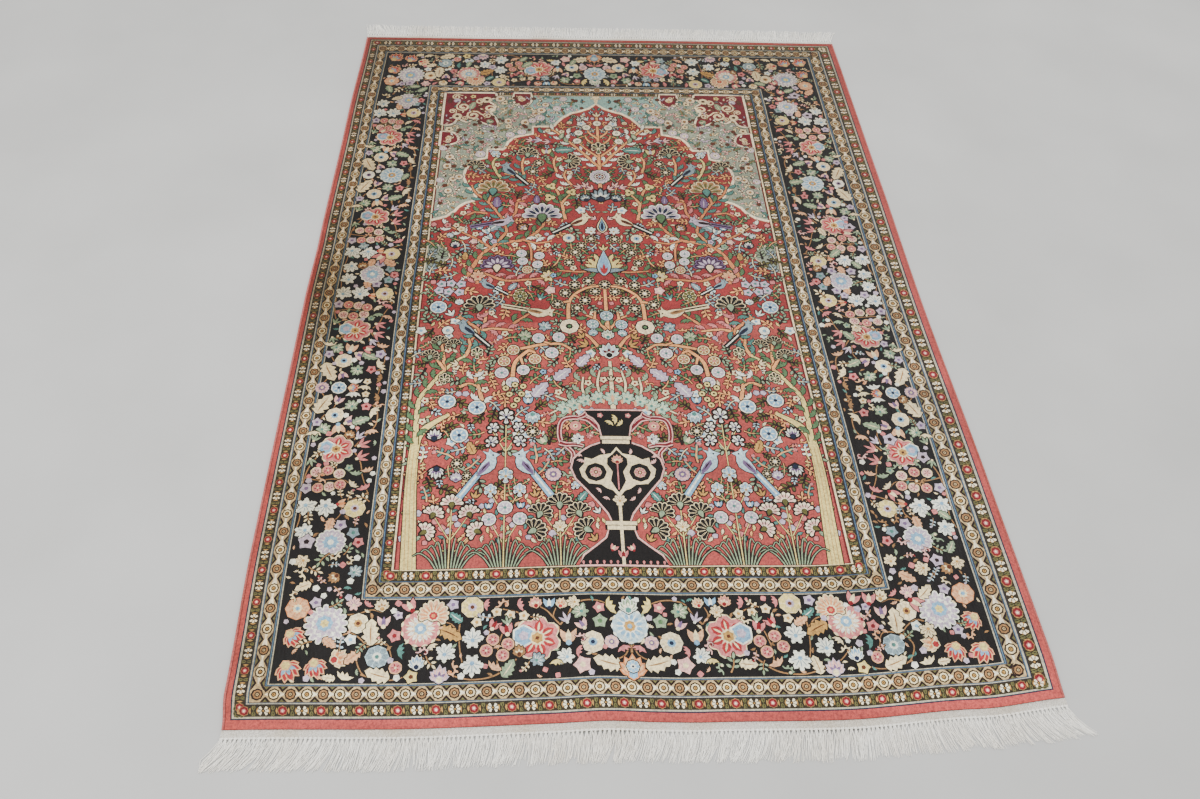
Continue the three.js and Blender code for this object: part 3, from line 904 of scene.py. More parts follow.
LARGE_BORDER = (
    ("leaf", "cream"), ("cluster", "cream"), ("bloom", "white_brown"), ("leaf", "peach_leaf"),
    ("spray", "vine_leaf"), ("tulip", "pink"), ("cluster", "grey_blue"), ("spray", "leaf_cream"),
    ("lotus", "tan"), ("leaf", "sage"),
)
SMALL_BORDER = (
    ("spray", "vine_leaf"), ("spray", "leaf_cream"), ("scroll", "tan"), ("scroll", "cream"),
    ("twig", "vine_cream"), ("scroll", "peach_leaf"), ("twig", "vine_pink"), ("scroll", "sage"),
    ("twig", "vine_white"), ("bloom", "lav"), ("scroll", "blush_leaf"),
)
TINY_BORDER = (
    ("curl", "tan"), ("bud", "lav"), ("curl", "cream"), ("bud", "pink"), ("curl", "sage"),
    ("curl", "peach_leaf"), ("bud", "white"), ("curl", "teal"),
)


def border_fillers(box, inner):
    def test(z, r):
        in_box = box[0] + r < z.real < box[1] - r and box[2] + r < z.imag < box[3] - r
        in_hole = inner[0] - r < z.real < inner[1] + r and inner[2] - r < z.imag < inner[3] + r
        return in_box and not in_hole
    region = {"box": box, "test": test, "pens": one_pen}
    fillers(region, 5000, (12, 17), LARGE_BORDER, 10, 0.66, 1.5, "night")
    fillers(region, 9000, (9, 13), SMALL_BORDER, 11, 0.72, 1.3, "night")
    fillers(region, 20000, (4, 6.4), TINY_BORDER, 12, 0.8)


# Right half of the arch, from its point down to the field's edge: (distance from the axis, v)
ARCH = (
    (0, 606), (16, 588), (40, 575), (61, 567), (82, 549), (96, 529), (103, 516), (108, 514), (153, 514),
    (153, 485), (176, 480), (197, 472), (210, 454), (217, 433), (221, 427), (257, 427), (258, 395),
    (279, 390), (295, 374), (304, 348), (306, 325), (303, 319), (296, 295), (282, 280), (274, 259),
    (278, 248), (295, 241), (310, 228), (318, 213), (337, 195), (366, 184),
)
SIDE_LOBE = ((366, 118), (337, 102), (324, 87), (318, 71), (326, 61), (340, 38), (366, 26))
CORNER_PIECE = (
    (366, 650), (264, 650), (246, 636), (262, 612), (246, 592), (258, 570), (246, 548), (238, 516),
    (270, 528), (292, 544), (312, 532), (332, 546), (344, 524), (366, 518),
)
CORNER_LOBES = (((200, 645), (198, 612), (186, 598), (174, 598), (161, 612), (160, 645)),
                ((366, 492), (340, 486), (330, 470), (332, 452), (366, 440)))

# Spirals of the corner pieces: (place, turn, radius)
CORNER_SPIRALS = (
    (296 + 556j, 200, 19), (258 + 584j, 20, 17), (322 + 590j, 90, 18), (282 + 612j, 300, 14),
    (340 + 630j, 180, 12), (262 + 556j, 120, 11), (316 + 545j, 0, 9), (346 + 572j, 250, 10),
    (186 + 630j, 60, 8), (350 + 458j, 10, 8),
)


def halves():
    """A pen for each half of the field: millimetres from the axis, then v."""
    return Pen(AXIS), Pen(AXIS, -1, True)


def field_ground(box):
    left, right, near, far = box
    half = points_of(ARCH)
    arch = np.concatenate([AXIS - half.conjugate()[::-1], AXIS + half[1:]])
    shapes.append(("mist", rectangle(left, right, 150, far)))
    side = points_of(((-178, far), (-150, 622), (-160, 600), (-158, 578), (-132, 566), (-128, 544),
                      (-112, 526), (-84, 522)))
    shapes.append(("turquoise", AXIS + np.concatenate([side, -side.conjugate()[::-1]])))
    shapes.append(("field_low", rectangle(left, right, near, -116)))
    shapes.append(("field", np.concatenate([arch, [complex(right, 150), complex(left, 150)]])))
    shapes.append(("maroon", ribbon(arch - 4.6j, 3.0, 3.0)))
    shapes.append(("peach", ribbon(arch - 1.6j, 6.4, 6.4)))
    shapes.append(("ivory", ribbon(arch, 6.0, 6.0)))
    for pen in halves():
        lobe = points_of(SIDE_LOBE)
        pen.fill("mist", lobe)
        pen.fill("umber", ribbon(lobe, 4.6, 4.6))
        pen.fill("cream", ribbon(lobe, 2.8, 2.8))
        pen.fill("turquoise", points_of(((0, 636), (44, 636), (46, 596), (30, 584), (14, 596), (0, 610))))
        pen.at(36 + 616j, turn=70).fill("navy", blade(POINTED, -11, 9, 9, 0.3))
        pen.at(36 + 615j, turn=70).fill("teal", blade(POINTED, -7, 5, 4, 0.3))
        for outline in (CORNER_PIECE, *CORNER_LOBES):
            edge = np.clip(smooth(outline, 3).real, 0, 366) + 1j * np.minimum(smooth(outline, 3).imag, 645)
            pen.fill("umber", grown(edge, 7.4))
            pen.fill("ivory", grown(edge, 5.6))
            pen.fill("wine", edge)
        for z in (20 + 620j, 40 + 606j, 20 + 600j, 38 + 630j):
            pen.at(z, size=12).claim()
        for z, turn, size in CORNER_SPIRALS:
            pen.at(z, turn, size).fill("cream", SPIRAL)
            occupied.append((complex(pen.to_design(z)), size))
        for z in (266 + 619j, 334 + 552j):
            stamp(pen, "daisy", "corner_ring", 12, z=z)
        stamp(pen, "leaf", "sage", 15, 100, 301 + 596j)
        stamp(pen, "lotus", "sage", 12, -70, 254 + 536j)
        stamp(pen, "lotus", "lav", 12, 60, 336 + 612j)
        stamp(pen, "bloom", "yellow", 8, 0, 300 + 632j)
        stamp(pen, "lotus", "cream", 12, 90, 181 + 618j)
        stamp(pen, "lotus", "cream", 11, 180, 352 + 468j)
    Pen(AXIS).fill("cream", points_of(((-9, 636), (9, 636), (5, 620), (2, 604), (-2, 604), (-5, 620))))


# Branches of the trees in the right half: (yarn, width at the root, leaf palette, points)
BRANCHES = (
    ("yellow", 13, None, ((343, -642), (347, -560), (351, -480), (350, -400), (340, -372), (322, -353),
        (296, -335))),
    ("yellow", 5, "bark", ((350, -400), (352, -340), (350, -300), (334, -270), (312, -235), (290, -211),
        (272, -197))),
    ("bark", 4, "bark_teal", ((272, -197), (264, -176), (268, -150))),
    ("bark", 4, "bark", ((310, -234), (312, -200), (318, -168))),
    ("bark", 3.4, "bark", ((312, -225), (324, -206), (335, -196))),
    ("bark", 4.4, "bark_white", ((232, -330), (238, -300), (246, -268), (251, -248), (241, -230))),
    ("bark", 3.4, "bark", ((280, -271), (262, -264), (247, -270))),
    ("bark", 4, None, ((183, -252), (180, -220), (170, -202), (151, -184), (138, -174), (115, -171),
        (91, -171), (72, -184))),
    ("bark", 3, None, ((151, -186), (141, -192), (141, -200))),
    ("bark", 3, None, ((168, -204), (163, -222))),
    ("bark", 3.4, None, ((138, -174), (182, -186), (199, -205))),
    ("bark", 2.6, None, ((110, -171), (134, -160))),
    ("bark", 4, "bark_pink", ((246, -136), (238, -113), (236, -82))),
    ("bark", 3.6, "bark_pink", ((246, -136), (220, -131), (183, -136))),
    ("orange", 3.4, "bark", ((183, -118), (162, -100), (151, -90))),
    ("orange", 4, "bark_teal", ((288, -98), (267, -116), (249, -136), (262, -160))),
    ("bark", 5, None, ((0, -158), (0, -113), (0, -80), (0, -20))),
    ("bark", 3.4, "bark", ((0, -138), (22, -108), (40, -96))), ("bark", 3, None, ((24, -106), (22, -86))),
    ("bark", 3.6, None, ((21, -176), (36, -154), (56, -138))),
    ("bark", 4, None, ((75, -113), (75, -83), (72, -57), (59, -36), (36, -20), (9, -14))),
    ("bark", 3, None, ((72, -57), (86, -60), (96, -64))), ("bark", 3, None, ((62, -40), (48, -52))),
    ("cream", 5, None, ((0, -330), (0, -280), (0, -213))),
    ("cream", 3, "thistle", ((18, -306), (26, -270), (20, -236))),
    ("cream", 3, "thistle", ((38, -310), (54, -284), (52, -252))),
    ("cream", 3, "thistle", ((58, -318), (84, -306), (104, -296))),
    ("cream", 2.6, "thistle", ((80, -326), (100, -328), (114, -336))),
    ("orange", 5, "bark", ((279, 13), (262, 60), (237, 99), (200, 115), (168, 122), (145, 140), (126, 168),
        (128, 190))),
    ("orange", 4, "bark_teal", ((232, 100), (214, 130), (204, 152), (216, 191), (247, 243), (274, 271),
        (286, 300))),
    ("orange", 3.2, "bark", ((247, 205), (272, 210), (290, 200))),
    ("orange", 3.2, "bark", ((247, 243), (240, 268), (238, 280))),
    ("orange", 3.2, None, ((160, 122), (152, 96), (150, 60))),
    ("orange", 3.2, "bark_white", ((168, 122), (140, 112), (108, 118))),
    ("orange", 3.4, "bark_white", ((237, 99), (262, 122), (300, 148), (330, 168))),
    ("orange", 3.4, "bark_pink", ((200, 180), (186, 210), (184, 240), (168, 246))),
    ("bark", 4, "bark", ((79, 186), (85, 232), (95, 276), (108, 300))),
    ("bark", 3, "bark", ((86, 240), (72, 262), (64, 274))),
    ("orange", 4, "bark_pink", ((257, -6), (262, 30), (240, 20), (200, 2), (160, 4), (120, 8))),
    ("bark", 5, None, ((0, 238), (0, 290), (0, 330), (0, 430), (0, 567))),
    ("bark", 3.6, "bark_white", ((3, 367), (45, 426), (80, 470), (103, 498), (118, 505))),
    ("bark", 3, None, ((2, 440), (24, 462), (30, 480))),
    ("bark", 3, None, ((2, 470), (20, 490), (24, 504))),
    ("bark", 3, None, ((2, 400), (30, 430), (46, 452))),
    ("yellow", 4, "bark", ((221, 322), (236, 352), (242, 380), (226, 410))),
    ("bark", 3.4, "bark_teal", ((170, 330), (176, 370), (172, 398))),
    ("bark", 3.4, "bark", ((97, 345), (104, 380), (98, 402))),
    ("bark", 3.4, "bark_teal", ((160, 300), (190, 330), (215, 340))),
    ("teal", 3, None, ((140, 330), (150, 350), (138, 366))),
    ("bark", 3.2, "bark_white", ((64, 300), (80, 330), (76, 352))),
    ("orange", 3, "bark", ((14, 30), (50, 26), (92, 30))),
)


def branch(pen, yarn, width, leaves, points):
    """A stem with a dark edge, its leaves on both sides in turn and a bud now and then."""
    path = smooth(points)
    tip = min(1.1 * width, 7)
    pen.fill("umber", ribbon(path, 1.9 * width + 3.6, tip + 3.2))
    pen.fill(yarn, ribbon(path, 1.9 * width, tip))
    if width > 8:
        for offset in (-6.5, 0, 6):
            pen.at(offset).fill("gold", ribbon(path[:len(path) // 2], 1.1, 1.1))
    if leaves is None:
        return
    steps = np.concatenate([[0], np.cumsum(np.abs(np.diff(path)))])
    for i, place in enumerate(np.arange(9, steps[-1] + 6, 12.5)):
        z = complex(np.interp(place, steps, path.real), np.interp(place, steps, path.imag))
        ahead = complex(np.interp(place + 3, steps, path.real), np.interp(place + 3, steps, path.imag))
        behind = complex(np.interp(place - 3, steps, path.real), np.interp(place - 3, steps, path.imag))
        heading = math.degrees(cmath.phase(ahead - behind))
        side = 1 if i % 2 else -1
        away = z + 11 * cmath.rect(1, math.radians(heading + side * 70))
        if i % 4 == 3:
            stamp(pen, "bloom", "bark_flower", 8.0, 40 * i, away, rim=2.0)
        else:
            stamp(pen, "curl", leaves, 12.0, heading + side * 42, away, rim=1.8)


def trees(pen):
    for row in BRANCHES:
        branch(pen, *row)


# Plants along the foot of the field: (distance from the axis, v of the top flower, stems' ends)
PLANTS = (
    (280, -525, ((308, -544), (252, -544), (316, -574), (243, -574))),
    (193, -340, ((217, -372), (169, -372), (217, -499), (168, -499), (218, -553), (167, -553))),
    (101, -528, ((130, -542), (73, -544), (138, -573), (64, -573))),
)
FIELD_FOOT = -640


# Blade of grass: (share of its lean, share of its height)
GRASS_BLADE = ((0, 0), (0.3, 0.62), (0.7, 1), (1, 0.8))


def plants(pen):
    for x, top, tips in PLANTS:
        for tip_x, tip_v in tips:
            path = smooth(((x, tip_v - 46), (x + 0.45 * (tip_x - x), tip_v - 26), (tip_x, tip_v)), 4)
            pen.fill("umber", ribbon(path, 3.6, 3.2))
            pen.fill("yellow", ribbon(path, 1.8, 1.4))
        for k in range(-5, 6):
            root, lean, height = x + 4.0 * k, 7.6 * k, 62 - 6.8 * abs(k)
            path = smooth([(root + out * lean, FIELD_FOOT + up * height) for out, up in GRASS_BLADE], 3)
            pen.fill("umber", ribbon(path, 6.4, 4.8))
            pen.fill("sage", ribbon(path, 2.2, 1.2))
        stem = smooth(((x, FIELD_FOOT), (x, 0.5 * (top + FIELD_FOOT)), (x, top)), 3)
        pen.fill("umber", ribbon(stem, 4.0, 3.2))
        pen.fill("yellow", ribbon(stem, 2.0, 1.6))
        for reach in (-36, -12, 12, 36):
            pen.at(complex(x + reach, FIELD_FOOT + 24), size=22).claim()


def both(points):
    """Closed outline from its right half, given from top to bottom."""
    half = points_of(points)
    return np.concatenate([half, -half.conjugate()[::-1]])


VASE_BODY = (
    (24, -402), (44, -410), (60, -421), (74, -436), (78, -454), (71, -475), (54, -496), (35, -521),
    (19, -544), (14, -559),
)
VASE_NECK = ((52, -331), (47, -339), (36, -347), (27, -362), (23, -388))
VASE_BASE = ((20, -576), (24, -592), (41, -607), (62, -624), (72, -639))
ARABESQUE = (
    (0, -410), (10, -424), (30, -428), (44, -436), (56, -432), (58, -446), (66, -456), (62, -472),
    (50, -486), (30, -488), (20, -496), (10, -500), (0, -514),
)
LENS = ((0, -416), (8, -426), (17, -434), (18, -447), (9, -462), (13, -480), (5, -497), (0, -504))
RIM_LEAVES = ((88, -326), (70, -318), (50, -309), (26, -303))


def vase(pen):
    petal, dot = blade(POINTED, -1, 1, 0.7), blade(ROUND, -1, 1, 1.2)
    for x, v in RIM_LEAVES:
        for side in (1, -1):
            stamp(pen, "cluster", "seafoam", 17, 90 - 12 * side, complex(side * x, v), rim=1.4)
            pen.at(complex(side * (x - 9), v - 4), turn=90, size=8).fill("peach", petal)
    stamp(pen, "cluster", "seafoam", 20, 90, -304j, rim=1.4)
    pen.at(-302j, turn=90, size=10).fill("peach", petal)
    for outline in (VASE_BODY, VASE_NECK, VASE_BASE):
        shape = both(outline)
        pen.fill("umber", grown(shape, 5.2))
        pen.fill("blush", grown(shape, 4.2))
        pen.fill("umber", grown(shape, 0.9))
        pen.fill("night", shape)
    for top, half in ((-387, 27), (-560, 26)):
        pen.fill("umber", rectangle(-half - 1, half + 1, top - 17, top + 1))
        pen.fill("cream", rectangle(-half, half, top - 7, top))
        pen.fill("cream", rectangle(-half + 3, half - 3, top - 16, top - 8.4))
    pen.fill("cream", both(ARABESQUE))
    pen.fill("night", both(LENS))
    for side in (1, -1):
        place = complex(side * 38, -463)
        pen.at(place, size=19).fill("night", lobed(8, 0.06, 2))
        stamp(pen, "daisy", "vase_rosette", 10.5, 90, place)
        stamp(pen, "curl", "blush_leaf", 8, 90 - side * 60, complex(side * 62, -440))
        for x, v, turn in ((22, -516, 60), (34, -500, 30), (66, -428, 70), (24, -420, 20)):
            stamp(pen, "curl", "blush_leaf", 6.5, 90 - side * turn, complex(side * x, v))
        stamp(pen, "bloom", "berry", 6, 0, complex(side * 25, -341))
        stamp(pen, "tulip", "pink", 8, 90 + side * 30, complex(side * 15, -610))
        stamp(pen, "curl", "yellow", 9, 90 - side * 46, complex(side * 9, -358))
        for i in range(6):
            pen.at(complex(side * (10 + 11 * i), -636), turn=90, size=3.6).fill("rose", dot)
    stamp(pen, "curl", "yellow", 11, 90, -350j)
    stamp(pen, "lotus", "pink", 13, 90, -441j)
    pen.fill("rose", rectangle(-1.2, 1.2, -498, -444))
    pen.fill("cream", rectangle(-2.6, 2.6, -640, -512))
    stamp(pen, "cluster", "cream", 13, 90, -521j)
    stamp(pen, "tulip", "berry", 10, 90, -622j)
    for v, radius in ((-350, 46), (-395, 36), (-440, 80), (-480, 70), (-530, 40), (-575, 32), (-612, 64)):
        pen.at(complex(0, v), size=radius).claim()


HANDLES = (
    ((26, -374), (36, -362), (50, -349), (76, -346), (93, -352), (99, -374), (96, -398), (84, -412),
     (76, -424), (79, -444)),
    ((46, -333), (56, -342), (66, -346)), ((99, -400), (88, -404), (72, -404), (58, -408)),
)
HANDLE_FLOWERS = (
    ("daisy", "pink", 11, 70 - 364j), ("cluster", "white_iris", 13, 64 - 392j),
    ("cluster", "berry", 8, 44 - 386j),
)


def handles(pen):
    for points in HANDLES:
        path = smooth(points, 4)
        pen.fill("umber", ribbon(path, 13.5, 9.5))
        pen.fill("blush", ribbon(path, 10.5, 7))
        pen.fill("wine", ribbon(path, 5.6, 2.6))
    for kind, palette, size, place in HANDLE_FLOWERS:
        stamp(pen, kind, palette, size, 0, place, rim=1.0)


# Half of the field's flowers: (kind, palette, radius, turn, and places as (distance from the axis, v))
FIELD_FLOWERS = (
    ("daisy", "white_teal", 10, 0, (0, 527), (26, 511), (45, 490), (49, 459)),
    ("sprig", "cream", 14, 90, (0, 560)), ("sprig", "bark_white", 12, 60, (26, 545)),
    ("tulip", "white", 10, 100, (40, 545)), ("iris", "white_iris", 8, 60, (42, 540)),
    ("curl", "teal", 11, 100, (62, 536)), ("lotus", "cream", 9, 90, (66, 526)),
    ("curl", "white_dark", 12, 90, (68, 496)), ("curl", "green_white", 12, 60, (74, 462)),
    ("iris", "dark_iris", 21, 90, (0, 431)), ("leaf", "teal", 22, 170, (79, 427)),
    ("leaf", "sage", 10, 100, (86, 478)), ("sprig", "lav", 16, 10, (142, 462)),
    ("sprig", "lav_pink", 14, 20, (160, 462)), ("sprig", "lav_pink", 14, 0, (120, 456)),
    ("carnation", "dark_carnation", 19, 90, (164, 416)), ("tulip", "yellow", 14, 90, (121, 418)),
    ("daisy", "dark_daisy", 12, 0, (138, 377), (151, 347)),
    ("carnation", "dark_carnation", 20, 180, (62, 385)), ("iris", "blue_iris", 13, 60, (236, 408)),
    ("curl", "teal", 12, 60, (134, 498)), ("bloom", "cream", 8, 0, (118, 498)),
    ("carnation", "dark_carnation", 17, 110, (279, 370)), ("star", "lav_star", 24, 0, (0, 330)),
    ("disc", "plum", 12, 0, (0, 330)), ("sprig", "lav_pink", 15, 60, (34, 300)),
    ("sprig", "lav_pink", 14, 20, (50, 294)), ("sprig", "blush_leaf", 14, 40, (22, 290)),
    ("lotus", "spiky", 32, 90, (0, 256)), ("lotus", "spiky", 17, 70, (33, 252)),
    ("cluster", "bark_white", 14, 60, (24, 148)), ("sprig", "lav_pink", 10, 40, (17, 190)),
    ("daisy", "dark_daisy", 11, 0, (25, 125), (46, 104), (59, 84), (72, 53)),
    ("sprig", "yellow", 14, 90, (0, 96)), ("carnation", "lav_carnation", 32, 90, (129, 206)),
    ("carnation", "cream_carnation", 28, 90, (238, 291)),
    ("carnation", "purple_carnation", 25, 90, (220, 50)),
    ("disc", "lav_disc", 11, 0, (171, 81), (168, 58), (134, 74), (137, 48)),
    ("disc", "beige_disc", 11, 0, (158, 33)), ("star", "cream_blue", 13, 0, (72, 127)),
    ("leaf", "violet_leaf", 17, 80, (229, 243)), ("leaf", "grey_blue", 20, 130, (229, 166)),
    ("leaf", "violet_leaf", 13, 80, (142, 252)), ("leaf", "sage", 12, 40, (104, 150)),
    ("twig", "bark", 18, 100, (96, 60)), ("clover", "yellow_dark", 12, 0, (109, 296)),
    ("clover", "yellow_dark", 13, 60, (113, 258)), ("clover", "yellow_dark", 12, 0, (64, 276)),
    ("bloom", "pink", 9, 0, (329, 168)), ("bloom", "cream", 10, 0, (300, 156)),
    ("tulip", "white", 11, 70, (246, 150)), ("tulip", "blue", 10, 90, (262, 160)),
    ("tulip", "white", 10, 50, (240, 132)), ("bloom", "lav_pink", 9, 0, (272, 118)),
    ("bloom", "green_white", 9, 0, (258, 104)), ("bloom", "lav", 8, 0, (230, 118)),
    ("lotus", "white_iris", 14, 90, (310, 104)), ("lotus", "blue", 10, 120, (324, 134)),
    ("leaf", "gold", 11, 80, (288, 74)), ("lotus", "tan_lotus", 17, 40, (166, 158)),
    ("cluster", "peach", 17, 90, (257, 13)), ("cluster", "yellow", 18, 90, (114, 11)),
    ("bloom", "blue", 7, 0, (104, 16)), ("bloom", "lav_disc", 11, 0, (328, -7)),
    ("bloom", "lav_disc", 11, 30, (309, -5)), ("bloom", "lav_disc", 11, 0, (289, -7), (332, -25)),
    ("bloom", "lav_disc", 11, 30, (313, -28)), ("bloom", "lav_disc", 11, 0, (291, -30)),
    ("disc", "blue", 17, 0, (330, -71)), ("carnation", "dark_carnation", 23, 90, (250, -61)),
    ("daisy", "dark_daisy", 12, 0, (33, 0), (61, -11), (80, -34), (0, -10)),
    ("daisy", "dark_daisy", 11, 0, (20, -30)),
    ("daisy", "dark_daisy", 12, 0, (41, -55), (96, -65), (57, -76)), ("sprig", "teal", 12, 90, (61, 8)),
    ("iris", "blue_iris", 11, 90, (216, -26)), ("leaf", "grey_blue", 12, 120, (186, -14)),
    ("bloom", "lav_pink", 12, 0, (110, -26)), ("sprig", "teal", 14, 110, (128, -44)),
    ("lotus", "white", 11, 90, (290, -60)), ("sprig", "white", 14, 60, (305, -88)),
    ("disc", "grey_blue", 13, 0, (0, -97)), ("disc", "grey_blue", 12, 0, (28, -120)),
    ("lotus", "grey_blue", 12, 80, (28, -146)), ("lotus", "green_white", 16, 90, (0, -152)),
    ("daisy", "green_dark", 15, 45, (170, -42)), ("daisy", "white", 11, 0, (308, -134)),
    ("cluster", "grey_blue", 15, 120, (123, -128)), ("cluster", "sage", 15, 100, (160, -152)),
    ("daisy", "cream_dark", 19, 0, (74, -126)), ("lotus", "pale_lotus", 25, 90, (0, -196)),
    ("sprig", "gold_dark", 16, 30, (46, -171)), ("sprig", "gold_dark", 13, 60, (52, -152)),
    ("disc", "lav_disc", 12, 0, (134, -156), (95, -154)), ("disc", "lav_disc", 13, 0, (109, -192)),
    ("disc", "beige_disc", 12, 0, (141, -207), (182, -184), (199, -211)),
    ("disc", "lav_disc", 13, 0, (203, -239)), ("disc", "lav_disc", 12, 0, (163, -233), (183, -262)),
    ("leaf", "lav_leaf", 18, 120, (51, -210)), ("leaf", "lav_leaf", 20, 130, (91, -243)),
    ("leaf", "lav_leaf", 21, 120, (133, -279)), ("bloom", "blue", 7, 0, (126, -238)),
    ("iris", "dark_iris", 14, 90, (250, -192)), ("carnation", "dark_carnation", 13, 110, (336, -194)),
    ("carnation", "dark_carnation", 13, 90, (322, -160)),
    ("carnation", "dark_carnation", 12, 70, (296, -168)), ("iris", "dark_iris", 13, 90, (308, -253)),
    ("sprig", "cream", 12, 20, (290, -216)), ("sprig", "cream", 10, 90, (0, -256)),
    ("disc", "blue", 16, 0, (300, -305), (246, -319), (275, -380)),
    ("daisy", "seed", 6, 0, (195, -276), (178, -268), (163, -272), (188, -290), (166, -290), (174, -303), (
        180, -316)),
    ("tulip", "blue", 11, 90, (154, -306)), ("lotus", "grey_blue", 18, -90, (146, -338)),
    ("iris", "white_iris", 18, 90, (193, -342)), ("iris", "white_iris", 13, 120, (217, -367)),
    ("iris", "white_iris", 13, 60, (169, -367)), ("iris", "white_iris", 14, 130, (219, -397)),
    ("iris", "white_iris", 14, 50, (167, -397)), ("iris", "blue_iris", 15, 90, (192, -468)),
    ("iris", "blue_iris", 13, 90, (217, -498), (168, -498)), ("disc", "lav_disc", 13, 0, (192, -530)),
    ("disc", "lav_disc", 12, 0, (218, -552), (167, -552)), ("sprig", "gold", 12, 100, (242, -505)),
    ("sprig", "gold", 12, 80, (142, -505)), ("tulip", "blue", 8, 90, (219, -527), (166, -527)),
    ("carnation", "white_carnation", 15, 90, (280, -516)),
    ("carnation", "white_carnation", 14, 110, (308, -536)),
    ("carnation", "white_carnation", 14, 70, (252, -536)),
    ("carnation", "white_carnation", 14, 150, (318, -571)),
    ("carnation", "white_carnation", 14, 30, (241, -571)), ("lotus", "white_iris", 19, 90, (318, -385)),
    ("lotus", "white_iris", 19, -90, (310, -452)), ("daisy", "dark_daisy", 10, 0, (276, -440)),
    ("daisy", "dark_daisy", 8, 0, (258, -465)), ("twig", "bark_teal", 20, 10, (300, -420)),
    ("twig", "bark_white", 16, 80, (336, -420)), ("leaf", "gold", 14, 60, (254, -408)),
    ("twig", "bark_teal", 18, 120, (248, -440)), ("twig", "bark_teal", 22, 70, (142, -420)),
    ("tulip", "sage", 12, 60, (128, -395)), ("twig", "bark_teal", 18, 110, (126, -450)),
    ("daisy", "dark_daisy", 11, 0, (146, -375)), ("star", "lav_pink", 14, 0, (111, -466)),
    ("iris", "blue_iris", 9, 130, (74, -490)), ("leaf", "teal", 12, 120, (62, -510)),
    ("twig", "bark_teal", 16, 60, (326, -500)), ("lotus", "lav", 13, 90, (276, -472)),
    ("carnation", "dark_carnation", 17, 90, (101, -520)),
    ("carnation", "dark_carnation", 16, 110, (132, -538)),
    ("carnation", "dark_carnation", 16, 70, (71, -538)),
    ("carnation", "dark_carnation", 17, 150, (140, -572)),
    ("carnation", "dark_carnation", 17, 30, (62, -572)), ("cluster", "cream", 13, 90, (101, -570)),
    ("sprig", "gold", 12, 60, (46, -592)), ("sprig", "white", 10, 60, (38, -540)),
)


def drop(pen, foot, tip, width, *yarns):
    """Upright drop of nested yarns, each inset in the one before."""
    for step, yarn in enumerate(yarns):
        inset = 2.6 * step
        pen.at(turn=90).fill(yarn, blade(DROP, foot + inset, tip - 1.5 * inset, width - 2 * inset))


def palmettes(pen):
    """The flame palmette and the bud on the field's axis."""
    centre = pen.at(30j)
    for yarn, extra in (("umber", 3), ("yellow", 0)):
        for turn in (0, 22, -22, 44, -44, 66, -66, 90, -90):
            flame = blade(SERRATED, 0, 58 - 0.22 * abs(turn) + extra, 15 + 1.6 * extra)
            centre.at(turn=90 + turn).fill(yarn, flame)
    for side in (1, -1):
        leaf_spot = centre.at(complex(0, -6), turn=90 - side * 62)
        leaf_spot.fill("umber", blade(POINTED, 0, 46, 17, -0.3 * side))
        leaf_spot.fill("grey_blue", blade(POINTED, 2, 42, 12, -0.3 * side))
    drop(centre, -16, 64, 34, "umber", "pale_blue", "sky")
    for turn, length in ((20, 22), (-20, 22), (0, 32)):
        centre.at(-10j, turn=90 + turn).fill("red", blade(POINTED, 0, length, 7))
    centre.claim(44)
    bud = pen.at(150j)
    drop(bud, -8, 48, 28, "umber", "cream", "umber", "sky", "navy")
    bud.at(18j).claim(22)


# Birds of the right half: (distance from the axis, v, length, turn, looks outward, palette)
BIRDS = (
    (47, 181, 42, 0, False, "cream_bird"), (224, -444, 46, -22, False, "lav_bird"),
    (160, -444, 46, -22, True, "lav_bird"), (205, 352, 40, -16, True, "grey_bird"),
    (133, -87, 44, 48, False, "white_bird"), (272, -130, 38, -12, True, "grey_bird"),
    (215, 178, 40, 20, False, "violet_bird"), (236, -10, 30, 0, True, "grey_bird"),
)


def birds(pen):
    for x, v, length, turn, outward, palette in BIRDS:
        spot = pen.at(complex(x, v))
        if outward:
            spot = Pen(spot.origin, -spot.step, not spot.mirrored)
        stamp(spot, "bird", palette, length, turn)
        spot.at(0.75 - 0.5j, size=length).claim(0.6)


def field_flowers():
    for pen in halves():
        for kind, palette, size, turn, *places in FIELD_FLOWERS:
            for x, v in places:
                if x or not pen.mirrored:
                    stamp(pen, kind, palette, size, turn, complex(x, v), rim=2.1)


LARGE_FIELD = (
    ("spray", "leaf_green"), ("spray", "leaf_olive"), ("spray", "leaf_sage"), ("spray", "leaf_bark"),
    ("spray", "leaf_teal"),
)
SMALL_FIELD = (
    ("spray", "leaf_sage"), ("spray", "leaf_olive"), ("spray", "leaf_pale"), ("bloom", "white"),
    ("twig", "bark"), ("scroll", "bark_vine"), ("twig", "bark_teal"), ("twig", "bark_white"),
    ("scroll", "bark_vine"), ("twig", "bark_pink"), ("twig", "bark_yellow"), ("scroll", "sage"),
)
TINY_FIELD = (
    ("curl", "sage"), ("bud", "pink"), ("curl", "yellow"), ("curl", "cream"), ("curl", "teal"),
    ("bud", "lav"), ("curl", "bark_vine"),
)
SMALL_SPANDREL = (
    ("twig", "spandrel_twig"), ("daisy", "white_brown"), ("scroll", "cream"), ("scroll", "spandrel_leaf"),
    ("twig", "spandrel_pale"), ("daisy", "spandrel_daisy"), ("scroll", "lav"), ("scroll", "blush_leaf"),
    ("daisy", "white_brown"), ("twig", "spandrel_pale"), ("bloom", "cream_gold"),
)
TINY_SPANDREL = (
    ("curl", "cream"), ("bud", "brown_bud"), ("curl", "tan"), ("curl", "white"),
    ("curl", "spandrel_leaf"), ("bud", "brown_bud"), ("curl", "lav"), ("curl", "blush_leaf"),
)


